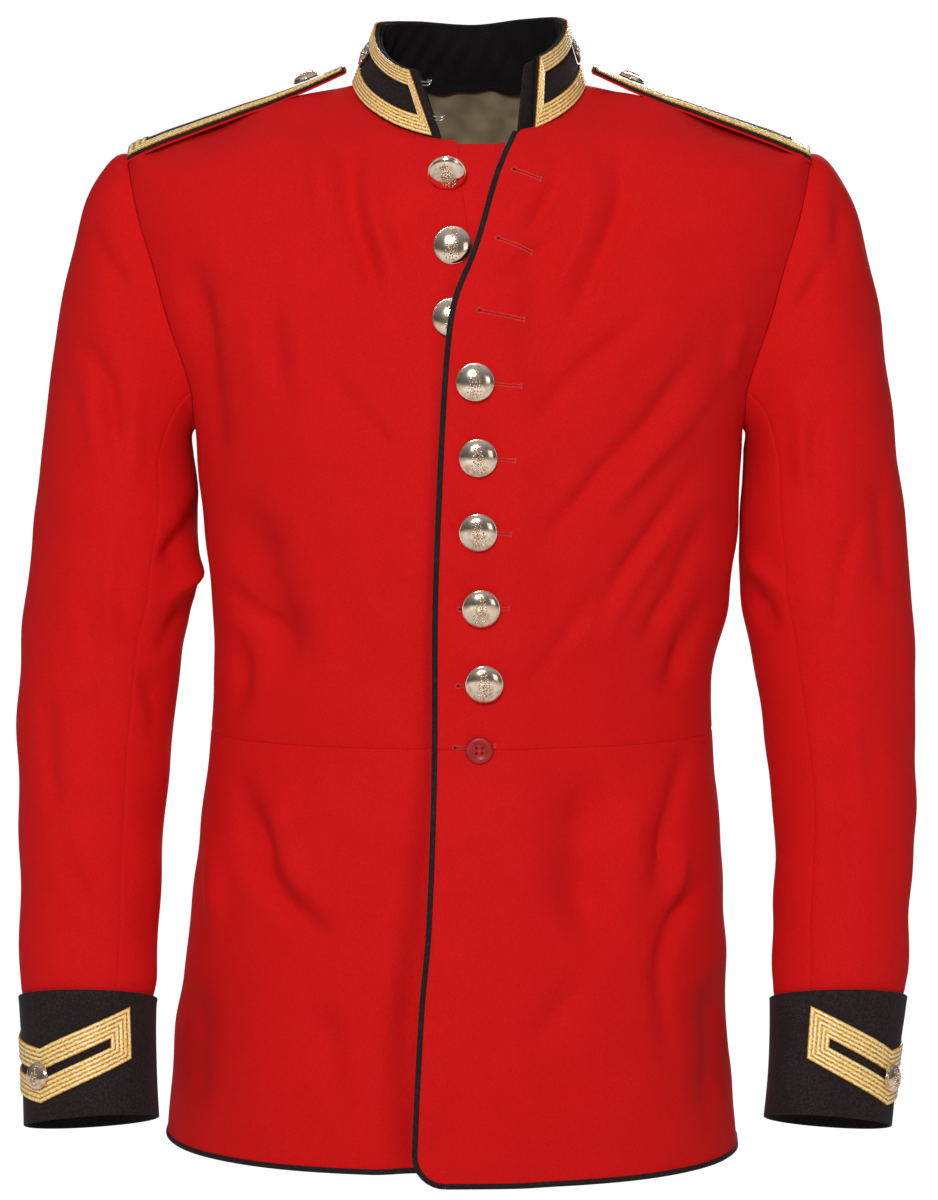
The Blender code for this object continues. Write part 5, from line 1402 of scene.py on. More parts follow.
@dataclass
class Sleeve(Maker):
    """A sleeve's two pieces, its cuff and the cuff's lace."""

    side: Side
    head_run: float = 0.13  # usual lengths for the grid
    tube_run: float = 0.37
    under_cuff: tuple = (0.002, 0.004)  # its last rows, and where its end starts to draw in
    chevron_turns: tuple = (33.0, 47.0)  # its point, degrees forward of the outside: left, right
    chevron_step: float = 2 * math.pi / 26  # the angle in which an arm climbs by its rise
    chevron_radius: float = 0.04
    chevron_arm: int = 6  # steps in an arm
    chevron_rise: float = 0.0045
    chevron_foot: float = 0.0115
    chevron_band: float = 0.015
    chevron_slot: float = 0.006
    chevron_end: float = 0.013  # width of the upright band at an arm's end
    chevron_sag: float = 0.0022  # how far an arm's middle hangs below its line
    cuff_wave: float = 0.0006
    cuff_columns: int = 97

    def __post_init__(self) -> None:
        """Makes the sleeve's form, and the cuff's height along its slope."""
        self.form = SleeveForm(self.side, self.body)
        self.chevron_turn = math.radians(self.chevron_turns[self.side is Side.RIGHT])
        self.cuff_height = (CUFF_TOP - CUFF_END) / math.cos(math.radians(CUFF_LEAN))

    def make_piece(self, part: str, start: float, end: float) -> None:
        """A piece of the sleeve between two angles in degrees."""
        form, sign, word = self.form, self.side.value, self.side.word
        trim = GAP / SLEEVE_RADIUS / 2
        width = math.radians(end - start) * SLEEVE_RADIUS
        turn = blend(math.radians(start) + trim, math.radians(end) - trim, stations(width))[None]
        shares = stations(self.head_run, fine=(True, False))[:-1]
        shares = blend(SAMPLE * 1.01, 1 - SAMPLE, shares)[:, None]
        head, head_out = surface_frame(form.head, *np.broadcast_arrays(turn, shares), sign)
        under_cuff, (step, draw) = CUFF_TOP + CUFF_SKEW[0], self.under_cuff
        heights = np.concatenate([
            blend(SLEEVE_ARMPIT, under_cuff, stations(self.tube_run, fine=(False, False))),
            [under_cuff - step, blend(under_cuff, SLEEVE_END, 0.5), SLEEVE_END]])
        tube, tube_out = surface_frame(form.tube, *np.broadcast_arrays(turn, heights[:, None]), -sign)
        points, normals = np.vstack([head, tube]), np.vstack([head_out, tube_out])
        height = form.folds.press(points, normals)
        height[len(head):] -= (TUCK * ease((under_cuff + draw - heights) / draw))[:, None]
        slab = Slab.wrap(points + normals * height[..., None], normals, CLOTH,
            (Edge.SET, Edge.PLAIN, Edge.SEWN, Edge.SEWN))
        self.wardrobe.add_cloth("sleeve_%s_%s" % (part, word), slab, SCARLET, "front_" + word,
            "back_" + word)

    def cuff_out(self, turn: Array, rise: Array, out: Array | float) -> Faced:
        """Points off the cuff's face, and its normals."""
        points, normals = surface_frame(self.form.cuff, turn, rise, -self.side.value)
        wave = self.cuff_wave * np.sin(3 * turn + 1.3) * np.sin(math.pi * rise + 0.6 * np.sin(2 * turn))
        return points + normals * (CUFF_OUT + wave + out)[..., None], normals

    def make_cuff(self) -> None:
        """The turned cuff, one ring."""
        turn = np.linspace(0, 2 * math.pi, self.cuff_columns)[None]
        rise = stations(0.08, 0.003)[:, None]
        points, normals = self.cuff_out(*np.broadcast_arrays(turn, rise), 0.0)
        slab = Slab.wrap(points, normals, CLOTH, (Edge.FREE, Edge.FREE, Edge.PLAIN, Edge.PLAIN), ring=True)
        word = self.side.word
        self.wardrobe.add_cloth("cuff_" + word, slab, BLACK_WOOL, "sleeve_top_" + word,
            trims=("lace_cuff_%s_wire" % word,))

    def make_lace(self) -> None:
        """The pointed frame: two arms that rise from a point, with a slot along their middle."""
        step = self.chevron_step * self.chevron_radius
        arm = self.chevron_arm * step
        ends = np.concatenate([Lace.rows(self.chevron_end), np.linspace(self.chevron_end, arm, 20)[1:]])
        lower = Lace.rows(self.chevron_band)
        total = 2 * self.chevron_band + self.chevron_slot
        column, row = np.meshgrid(np.concatenate([ends - arm, (arm - ends)[::-1][1:]]) / step,
            np.concatenate([lower, total - lower[::-1]]))
        from_end = (self.chevron_arm - np.abs(column)) * step / self.chevron_end
        share = np.minimum(np.minimum(row, total - row) / self.chevron_band, from_end)
        rib = Lace.ribs(share)
        sag = self.chevron_sag * np.sin(math.pi * np.abs(column) / self.chevron_arm)
        climb = self.chevron_rise * np.abs(column) - sag
        rise = (self.chevron_foot + climb + row) / self.cuff_height
        thick = Lace.BASE + Lace.RIB * rib
        points, normals = self.cuff_out(self.chevron_turn + column * self.chevron_step, rise,
            LACE_ROOM + thick)
        word = self.side.word
        self.wardrobe.add_cloth("lace_cuff_" + word, Lace.slab(points, normals, share, rib, thick),
            GOLD_LACE, "cuff_" + word)


# --- collar
COLLAR_HEIGHTS = ((0.0, 0.0442), (0.1, 0.0424), (0.2, 0.0404), (0.3, 0.0424), (0.38, 0.0426),
                  (0.52, 0.0402), (0.64, 0.044), (0.73, 0.0452), (0.84, 0.0424), (0.92, 0.0446),
                  (1.0, 0.0478))  # how far round, height
COLLAR_WALL, COLLAR_LINING = 0.0022, 0.0014
COLLAR_BASE_ENDS, COLLAR_TOP_ENDS = (-14.0, 34.0), (-35.0, 45.0)  # degrees: right end, left end
COLLAR_TOP_HALF, COLLAR_TOP_SHIFT = (0.064, 0.083, 0.062), 0.0012
COLLAR_BARE = 0.014  # of the way round, with no lace at the right end
COLLAR_LIFT = 0.001
COLLAR_INSET = (-0.012, 0.985)  # foot and top of its lace and lining, of its height
COLLAR_RUN = 0.42  # a usual length round it


@dataclass
class Collar(Maker):
    """The stand, its lining, laces, tab, badges and hooks."""

    band: float = 0.275  # each lace band, of the collar's height
    lining_foot: float = -0.14  # at the back it hangs over the neck's seam
    foot: float = -0.0237  # where the stand meets the neckline, of its height
    end_band: float = 0.0062  # width of the upright lace at an end
    split: float = 0.002  # half the join of the two laces at the back, of the way round
    tall: tuple = (0.044, 0.042)  # usual heights of the stand and the lining, for their grids
    # The lining's wrinkles: how deep, waves round and up, phase; then the waves of its foot.
    sag: float = 0.0021
    sag_ends: float = 0.08  # of the way round, where it has no slack
    foot_rise: float = 0.25  # how far up the waves of its foot reach
    wrinkles: Points = ((0.5, 76, 5, 0.0), (0.45, 133, -6, 1.0), (0.3, 31, 5, 2.0))
    foot_waves: Points = ((0.0009, 46, 0.7), (0.0007, 101, 0.0))
    tab_span: tuple = (0.955, 0.998)  # of the way round
    tab_reach: tuple = (0.012, 0.0096)  # past the collar's end: foot, top
    tab_top: float = 0.94
    tab_wall: float = 0.0016
    tab_bow: float = 0.0008
    hooks: tuple = (("hook_upper", 0.8), ("hook_lower", 0.28))
    hook_wire: float = 0.0005
    hook_arm: float = 0.0011  # half the room between a hook's two arms
    # A hook's stops: out past the end, behind it and up.
    hook_route: Points = ((-0.004, -0.0003, 0.0), (0.0005, 0.0, 0.0), (0.0045, 0.0, 0.0004),
        (0.0062, 0.0006, 0.0012), (0.0066, 0.0018, 0.0022), (0.0052, 0.0026, 0.0026),
        (0.003, 0.0026, 0.0024))
    badge_around: tuple = (0.824, 0.226)  # of the way round: left, right
    badge_rise: float = 0.52

    def __post_init__(self) -> None:
        """Makes the curve of the collar's height."""
        self.height = Curve(*zip(*COLLAR_HEIGHTS))

    def surface(self, around: Array, rise: Array) -> Array:
        """The collar's face: around 0 is its right end, 1 its left end, by the back."""
        base_turn = blend(COLLAR_BASE_ENDS[0], COLLAR_BASE_ENDS[1] - 360, around)
        base_turn = np.where(base_turn < -180, base_turn + 360, base_turn)
        top_turn = np.radians(blend(COLLAR_TOP_ENDS[0], COLLAR_TOP_ENDS[1] - 360, around))
        base = self.body.surface(self.body.neck_angle(base_turn), self.body.neck_height(base_turn))
        base = base + np.array((0, 0, COLLAR_LIFT))
        half, front, back = COLLAR_TOP_HALF
        depth = np.where(np.cos(top_turn) > 0, front, back)
        top = vectors(COLLAR_TOP_SHIFT + half * np.sin(top_turn), -depth * np.cos(top_turn),
            base[..., 2] + self.height(around))
        return blend(base, top, np.asarray(rise)[..., None])

    def face(self, around: Array | float, rise: Array | float, out: Array | float = 0.0) -> Faced:
        """Points off the collar's face, and its normals."""
        around, rise = np.broadcast_arrays(np.asarray(around, float), np.asarray(rise, float))
        points, normals = surface_frame(self.surface, around, rise, -1.0)
        return points + normals * (np.zeros(around.shape) + out)[..., None], normals

    def make_stand(self) -> None:
        """The outer stand and its lining."""
        around = stations(COLLAR_RUN, 0.0028)[None]
        points, normals = self.face(around, blend(self.foot, 1.0, stations(self.tall[0], 0.0028))[:, None])
        slab = Slab.wrap(points, normals, COLLAR_WALL, (Edge.PLAIN, Edge.FREE, Edge.FREE, Edge.FREE))
        self.wardrobe.add_cloth("collar_stand", slab, BLACK_WOOL, "front_left", "front_right",
            "back_left", "back_right", trims=("lace_collar_left_wire", "lace_collar_right_wire",
            "collar_tab_cloth"))
        foot = self.lining_foot * (1 - (2 * around - 1) ** 4)
        rise = blend(foot, COLLAR_INSET[1], stations(self.tall[1], 0.0018)[:, None])
        points, normals = self.face(around, rise)
        share, level = np.broadcast_arrays(around, rise)
        ends = self.sag_ends
        slack = np.sin(math.pi * np.clip(level, 0, 1)) * ease(share / ends) * ease((1 - share) / ends)
        wrinkle = sum(deep * np.sin(turns * share + up * level + phase)
                      for deep, turns, up, phase in self.wrinkles)
        inside = COLLAR_WALL + 2 * SEAM + self.sag * slack * (0.9 + wrinkle)
        wavy = sum(high * np.sin(turns * share + phase) for high, turns, phase in self.foot_waves)
        wavy = wavy * (1 - ease(level / self.foot_rise))
        points = points - normals * inside[..., None] + wavy[..., None] * UP
        slab = Slab.wrap(points, normals, COLLAR_LINING, (Edge.FREE,) * 4)
        self.wardrobe.add_cloth("collar_lining", slab, BLACK_CLOTH, "collar_stand")

    def make_lace(self, side: Side) -> None:
        """Bands along the top and the foot, joined by an upright at the collar's end."""
        start, stop = (1.0, 0.5 + self.split) if side is Side.LEFT else (COLLAR_BARE, 0.5 - self.split)
        run = abs(stop - start) * COLLAR_RUN
        foot, top = COLLAR_INSET
        band, top_band = self.band - foot, top - 1 + self.band
        lower = foot + Lace.rows(band)
        from_end, rise = np.meshgrid(
            np.concatenate([Lace.rows(self.end_band), np.linspace(self.end_band, run, 70)[1:]]),
            np.concatenate([lower, np.linspace(lower[-1], 1 - self.band, 8)[1:-1],
                            top - Lace.rows(top_band)[::-1]]))
        share = np.minimum(np.minimum((rise - foot) / band, (top - rise) / top_band),
            from_end / self.end_band)
        rib = Lace.ribs(share)
        thick = Lace.BASE + Lace.RIB * rib
        points, normals = self.face(blend(start, stop, from_end / run), rise, 3 * SEAM + thick)
        self.wardrobe.add_cloth("lace_collar_" + side.word, Lace.slab(points, normals, share, rib, thick),
            GOLD_LACE, "collar_stand")

    def make_tab(self) -> None:
        """A flap of cloth behind the left end, standing out past it, with a turned edge."""
        inside = COLLAR_WALL + COLLAR_LINING + 4 * SEAM
        across, along = np.meshgrid(stations(0.03, 0.0022), stations(self.tall[0], 0.0022))
        rise = self.tab_top * along
        root, out = self.face(self.tab_span[0], rise)
        edge, _ = self.face(self.tab_span[1], rise)
        far = edge + unit(edge - root) * blend(*self.tab_reach, along)[..., None]
        bow = inside + self.tab_bow * np.sin(math.pi * across) * np.sin(math.pi * along + 0.4)
        points = blend(root, far, across[..., None]) - out * bow[..., None]
        slab = Slab.wrap(points, out, self.tab_wall, (Edge.FREE,) * 4)
        self.wardrobe.add_cloth("collar_tab", slab, BLACK_WOOL, "collar_lining")

    def make_hooks(self) -> None:
        """Two wire hooks that stand out of the right end."""
        for name, rise in self.hooks:
            root, inside, behind = (
                self.face(around, rise, out)[0]
                for around, out in ((0.0, -COLLAR_WALL / 2), (0.02, -COLLAR_WALL / 2), (0.0, -0.01)))
            out, back = unit(root - inside), unit(behind - root)
            path = smooth_path([root + out * a + back * b + UP * c for a, b, c in self.hook_route], 40)
            spread = UP * (1 - ease(np.linspace(-0.6, 1.2, 40)))[:, None]
            arms = [sweep(path + spread * shift, np.tile(UP, (40, 1)), self.hook_wire, self.hook_wire, 8)
                    for shift in (-self.hook_arm, self.hook_arm)]
            self.wardrobe.add_shape(name + "_wire", joined(arms), STEEL, name)


# --- shoulder straps
@dataclass
class Strap(Maker):
    """A shoulder strap: red underlay, black face, gold border."""

    side: Side
    span: tuple[float, float] = (0.2315, 0.0835)  # from the centre: sleeve seam, tip
    half: tuple[float, float] = (0.027, 0.0225)
    # Along it, how high it lies above the shoulder line.
    lifts: Points = ((0.0, 0.0006), (0.1, 0.0022), (0.2, 0.0041), (0.32, 0.0051), (0.42, 0.0047),
        (0.54, 0.0039), (0.62, 0.0036), (0.7, 0.0042), (0.8, 0.0055), (0.9, 0.008), (1.0, 0.0112))
    # How far its front edge droops at the sleeve, the middle and the tip, and its back edge.
    droop: tuple[float, float, float] = (0.0084, 0.0062, 0.003)
    back_droop: float = 0.0022
    tip: float = 0.86  # of the way along, where it starts to round off
    blunt: float = 0.86
    border: float = 0.009
    end_band: float = 0.0125
    # Height of each layer's foot, its thickness, and how far inside the underlay it ends.
    layers: tuple = (("base", 0.0, 0.0012, 0.0), ("face", 0.0015, 0.0012, 0.0008))
    lace_foot: float = 0.003
    lace_inset: float = 0.003
    lace_thin: tuple[float, float] = (0.7, 0.8)  # its base and ribs beside the other lace's
    lace_ribs: int = 3  # across this narrower border
    button_x: float = 0.11

    def __post_init__(self) -> None:
        """Makes the curve of its lift."""
        self.lift = Curve(*zip(*self.lifts))

    def shoulder_height(self, x: Array) -> Array:
        """Height of the shoulder line at a distance from the centre."""
        z = np.linspace(0.0, ARMHOLE_TOP, 300)
        return np.interp(x, self.body.half(z), z)

    def surface(self, along: Array | float, across: Array | float) -> Array:
        """The underside: along 0 is the sleeve seam, 1 the tip; across is -1 to 1."""
        along, across = np.broadcast_arrays(np.asarray(along, float), np.asarray(across, float))
        x = blend(*self.span, along)
        past = np.clip((along - self.tip) / (1 - self.tip), 0.0, 1.0)
        half = blend(*self.half, along) * np.sqrt(1 - self.blunt * past ** 2)
        sleeve, middle, tip = self.droop
        ahead = blend(sleeve, tip, along) + (middle - (sleeve + tip) / 2) * 4 * along * (1 - along)
        drop = np.where(across < 0, ahead, self.back_droop) * across ** 2
        return vectors(self.side.value * x, half * across,
                       self.shoulder_height(x) + self.lift(along) - drop)

    def grid(self, inset: float, rows: Array, columns: Array) -> tuple[Array, Array]:
        """Shares along and across of a layer drawn in by inset, but not at the sleeve."""
        length = self.span[0] - self.span[1]
        along = blend(0.0, 1 - inset / length, rows)[:, None]
        half = blend(*self.half, along)
        return np.broadcast_arrays(along, columns[None] * (1 - inset / half))

    def make(self) -> None:
        """The three layers."""
        rows, columns = stations(0.148, 0.003), stations(0.052, 0.003) * 2 - 1
        for (part, low, wall, inset), finish, carrier in zip(self.layers, (SCARLET, BLACK_WOOL),
                ("front_", "strap_base_")):
            points = self.surface(*self.grid(inset, rows, columns)) + UP * (low + wall)
            slab = Slab.wrap(points, np.broadcast_to(UP, points.shape), wall, (Edge.FREE,) * 4)
            self.wardrobe.add_cloth("strap_%s_%s" % (part, self.side.word), slab, finish,
                carrier + self.side.word)
        self.make_lace()

    def make_lace(self) -> None:
        """The gold border: an upright band at the sleeve seam, sides, and a rounded tip."""
        length, half = self.span[0] - self.span[1], self.half[0]
        band = Lace.rows(self.end_band) / length
        edge = Lace.rows(self.border) / half
        rows = np.concatenate([band, np.linspace(band[-1], 1 - band[-1], 60)[1:-1], 1 - band[::-1]])
        columns = np.concatenate([edge - 1, np.linspace(edge[-1] - 1, 1 - edge[-1], 12)[1:-1],
            1 - edge[::-1]])
        along, across = self.grid(self.lace_inset, rows, columns)
        share = (1 - np.abs(columns)[None]) * half / self.border
        share = np.minimum(share, np.minimum(rows, 1 - rows)[:, None] * length / self.end_band)
        rib = Lace.ribs(share * self.lace_ribs / Lace.RIBS)
        thick = Lace.BASE * self.lace_thin[0] + Lace.RIB * rib * self.lace_thin[1]
        points = self.surface(along, across) + UP * (self.lace_foot + thick)[..., None]
        self.wardrobe.add_cloth("strap_lace_" + self.side.word, Lace.slab(points, UP, share, rib, thick),
            GOLD_LACE, "strap_face_" + self.side.word)


# --- repeats by nodes
class Repeater:
    """A Geometry Nodes tree that lays small swellings on points, with named inputs."""

    KINDS = {"float": "NodeSocketFloat", "int": "NodeSocketInt", "vector": "NodeSocketVector",
        "material": "NodeSocketMaterial"}
    NAME = "repeat"
    INPUTS: dict[str, str] = {}
    GRID = (6, 4)  # segments and rings of a swelling

    def __init__(self) -> None:
        """Makes the tree and its sockets."""
        self.tree = bpy.data.node_groups.new(self.NAME, "GeometryNodeTree")
        face = self.tree.interface
        face.new_socket("Geometry", in_out="INPUT", socket_type="NodeSocketGeometry")
        self.sockets = {
            key: face.new_socket(key, in_out="INPUT", socket_type=self.KINDS[kind]).identifier
            for key, kind in self.INPUTS.items()}
        face.new_socket("Geometry", in_out="OUTPUT", socket_type="NodeSocketGeometry")
        self.start = add_node(self.tree, "NodeGroupInput").outputs
        self.build()

    def build(self) -> None:
        """Adds the tree's own nodes."""
        raise NotImplementedError

    def lay(self, points: Node, aim: Node, turn: Socket, size: Node | Socket,
            move: Node | None = None) -> None:
        """Lays a swelling on each point, makes all real and ends the tree.

        Args:
            points: where they lie.
            aim: how each is turned.
            turn: a further turn about its own upward direction.
            size: its length, width and height.
            move: how far all are moved.
        """
        tree = self.tree
        swing = add_node(tree, "FunctionNodeAxisAngleToRotation", {"Axis": (0, 0, 1), "Angle": turn})
        turned = add_node(tree, "FunctionNodeRotateRotation", {0: aim, 1: swing}, rotation_space="LOCAL")
        segments, rings = self.GRID
        bead = add_node(tree, "GeometryNodeMeshUVSphere", {"Segments": segments, "Rings": rings,
            "Radius": 0.5})
        laid = add_node(tree, "GeometryNodeInstanceOnPoints", {"Points": points, "Instance": bead,
            "Rotation": turned, "Scale": size})
        if move:
            laid = add_node(tree, "GeometryNodeTranslateInstances",
                {"Instances": laid, "Translation": move, "Local Space": False})
        real = add_node(tree, "GeometryNodeRealizeInstances", {0: laid})
        dressed = add_node(tree, "GeometryNodeSetMaterial", {"Geometry": real,
            "Material": self.start["Material"]})
        add_node(tree, "NodeGroupOutput", {0: dressed})

    def grow(self, base: Mesh, finish: Finish, **values: object) -> Shape:
        """Runs the tree on a mesh.

        Args:
            base: the mesh that it starts from.
            finish: the swellings' own.
            values: the inputs by name.

        Returns:
            The plain shape that it makes.
        """
        item = bpy.data.objects.new("repeat", base)
        bpy.context.scene.collection.objects.link(item)
        modifier = item.modifiers.new("repeat", "NODES")
        modifier.node_group = self.tree
        for key, value in {**values, "Material": finish.material()}.items():
            modifier[self.sockets[key]] = value
        return result_of(item)


class StitchRow(Repeater):
    """Short stitches along a path, turned about the cloth's own upward direction."""

    NAME = "stitch_row"
    INPUTS = {"Pitch": "float", "Length": "float", "Thickness": "float", "Turn": "float",
        "Material": "material"}

    def build(self) -> None:
        """Path, then a stitch at each pitch."""
        tree, start = self.tree, self.start
        line = add_node(tree, "GeometryNodeMeshToCurve", {0: start["Geometry"]})
        dots = add_node(tree, "GeometryNodeResampleCurve", {"Curve": line, "Length": start["Pitch"]},
            mode="LENGTH")
        ahead = add_node(tree, "GeometryNodeInputTangent")
        up = add_node(tree, "GeometryNodeInputNamedAttribute", {"Name": "up"}, data_type="FLOAT_VECTOR")
        aim = add_node(tree, "FunctionNodeAxesToRotation", {0: up, 1: ahead}, primary_axis="Z",
            secondary_axis="X")
        size = add_node(tree, "ShaderNodeCombineXYZ", {0: start["Length"], 1: start["Thickness"],
            2: start["Thickness"]})
        self.lay(dots, aim, start["Turn"], size)


class Circlet(Repeater):
    """Small swellings in a ring round the axis."""

    NAME = "circlet"
    INPUTS = {"Count": "int", "Radius": "float", "Height": "float", "Size": "vector", "Tilt": "float",
        "Twist": "float", "Material": "material"}
    GRID = (10, 6)

    def build(self) -> None:
        """A circle of points, then a swelling on each."""
        tree, start = self.tree, self.start
        circle = add_node(tree, "GeometryNodeMeshCircle", {"Vertices": start["Count"],
            "Radius": start["Radius"]})
        number = add_node(tree, "GeometryNodeInputIndex")
        share = add_node(tree, "ShaderNodeMath", {0: number, 1: start["Count"]}, operation="DIVIDE")
        around = add_node(tree, "ShaderNodeMath", {0: share, 1: 2 * math.pi}, operation="MULTIPLY")
        euler = add_node(tree, "ShaderNodeCombineXYZ", {1: start["Tilt"], 2: around})
        aim = add_node(tree, "FunctionNodeEulerToRotation", {0: euler})
        lift = add_node(tree, "ShaderNodeCombineXYZ", {2: start["Height"]})
        self.lay(circle, aim, start["Twist"], start["Size"], lift)

    def ring(self, count: int, radius: float, size: Sequence[float], **more: float) -> Shape:
        """One ring of metal swellings; more are the tree's other inputs."""
        values = {"Height": 0.0, "Tilt": 0.0, "Twist": 0.0, **more}
        return self.grow(bpy.data.meshes.new("seed"), PLATED, Count=count, Radius=radius, Size=size,
            **values)


def result_of(item: bpy.types.Object) -> Shape:
    """The loose mesh data that an object's modifiers give; the object is removed."""
    graph = bpy.context.evaluated_depsgraph_get()
    mesh = bpy.data.meshes.new_from_object(item.evaluated_get(graph))
    points = np.zeros(len(mesh.vertices) * 3)
    mesh.vertices.foreach_get("co", points)
    faces = [tuple(face.vertices) for face in mesh.polygons]
    bpy.data.meshes.remove(mesh)
    bpy.data.meshes.remove(item.data)
    return Shape(points.reshape(-1, 3), faces)


def path_mesh(path: Array, normals: Array) -> Mesh:
    """A line of edges that carries the cloth's upward direction."""
    mesh = bpy.data.meshes.new("path")
    mesh.from_pydata(path.tolist(), [(row, row + 1) for row in range(len(path) - 1)], [])
    mesh.attributes.new("up", "FLOAT_VECTOR", "POINT").data.foreach_set("vector", normals.reshape(-1))
    return mesh


# --- buttons and badges
class CrestRing(NamedTuple):
    """One ring of a generic crest: shares of the button's radius."""

    count: int
    radius: float
    long: float  # along the ring's radius
    wide: float  # round the ring
    high: float
    twist: float = 0.0  # degrees that each swelling turns on the dome
    rise: float = 0.0  # the ring's middle, above the button's


# A rosette over a wreath over a spray of leaves, which stand for any crest.
CREST = (
    CrestRing(6, 0.14, 0.15, 0.07, 0.26, 0.0, 0.56), CrestRing(3, 0.02, 0.07, 0.07, 0.3, 0.0, 0.56),
    CrestRing(5, 0.19, 0.1, 0.08, 0.24, 0.0, 0.34), CrestRing(12, 0.27, 0.1, 0.1, 0.24, 28.0, 0.0),
    CrestRing(6, 0.11, 0.14, 0.05, 0.22, 0.0, 0.0), CrestRing(3, 0.02, 0.07, 0.07, 0.26, 0.0, 0.0),
    CrestRing(11, 0.33, 0.15, 0.07, 0.14, 35.0, -0.44),
    CrestRing(7, 0.17, 0.13, 0.07, 0.14, -30.0, -0.46), CrestRing(3, 0.03, 0.08, 0.08, 0.16, 0.0, -0.46))


@dataclass(frozen=True)
class Dome:
    """A domed button: radius, height and shank."""

    radius: float
    height: float
    shank: float
    rim: tuple[float, float] = (0.0004, 0.0012)
    roll: float = 0.0006  # radius of the rolled rim
    roll_turns: tuple[float, float, int] = (0.62, 1.12, 6)  # its start and run in half turns, steps
    neck: float = 0.0022

    def face_height(self, r: float) -> float:
        """Height of the dome's face at a radius."""
        rise = math.sqrt(max(0.0, 1 - (r / self.radius) ** 2))
        return self.shank + self.rim[1] + (self.height - self.rim[1]) * rise

    def body(self, sides: int = 48, steps: int = 16) -> Shape:
        """The dome with its rolled rim, back and shank."""
        shank, (low, high), roll = self.shank, self.rim, self.roll
        reach = self.radius - roll
        radii = [reach * math.sin(math.pi / 2 * step / steps) for step in range(steps)]
        profile = [(r, self.face_height(r)) for r in radii]
        middle = shank + (low + high) / 2
        start, run, count = self.roll_turns
        for step in range(count + 1):
            turn = math.pi * (start - step / count * run)
            profile.append((reach + roll * math.cos(turn), middle + roll * math.sin(turn)))
        profile += [(self.radius - high, shank), (self.neck, shank), (self.neck, 0.0), (0.0, 0.0)]
        return lathe(profile, sides)

    def ornament(self, circlet: Circlet) -> Shape:
        """The generic crest's rings, laid on the dome."""
        shapes = []
        for ring in CREST:
            size = [share * self.radius for share in (ring.long, ring.wide, ring.high)]
            shape = circlet.ring(ring.count, ring.radius * self.radius, size,
                Twist=math.radians(ring.twist))
            across = shape.points[:, :2] + np.array((0.0, ring.rise * self.radius))
            reach = np.minimum(np.linalg.norm(across, axis=1), self.radius * 0.97)
            lift = np.array([self.face_height(r) for r in reach])
            shapes.append(Shape(np.column_stack([across, shape.points[:, 2] + lift]), shape.faces))
        return joined(shapes)


BIG_DOME = Dome(0.0127, 0.0058, 0.0016)
SMALL_DOME = Dome(0.0092, 0.0044, 0.0026)
STRAP_DOME = Dome(0.0092, 0.0044, 0.0004)


def seat(foot: Sequence[float], outward: Sequence[float], spin: float = 0.0, droop: float = 0.0) -> Matrix:
    """The matrix that sets a part on its foot, facing outward.

    Args:
        foot: where its shank stands.
        outward: the direction that its face looks in.
        spin: its turn about its shank, in degrees.
        droop: how far its face hangs down, in degrees.

    Returns:
        The matrix.
    """
    outward = Vector(outward)
    outward.rotate(Matrix.Rotation(math.radians(droop), 3, "X"))
    aim = outward.to_track_quat("Z", "Y").to_matrix().to_4x4()
    return Matrix.Translation(Vector(foot)) @ aim @ Matrix.Rotation(math.radians(spin), 4, "Z")


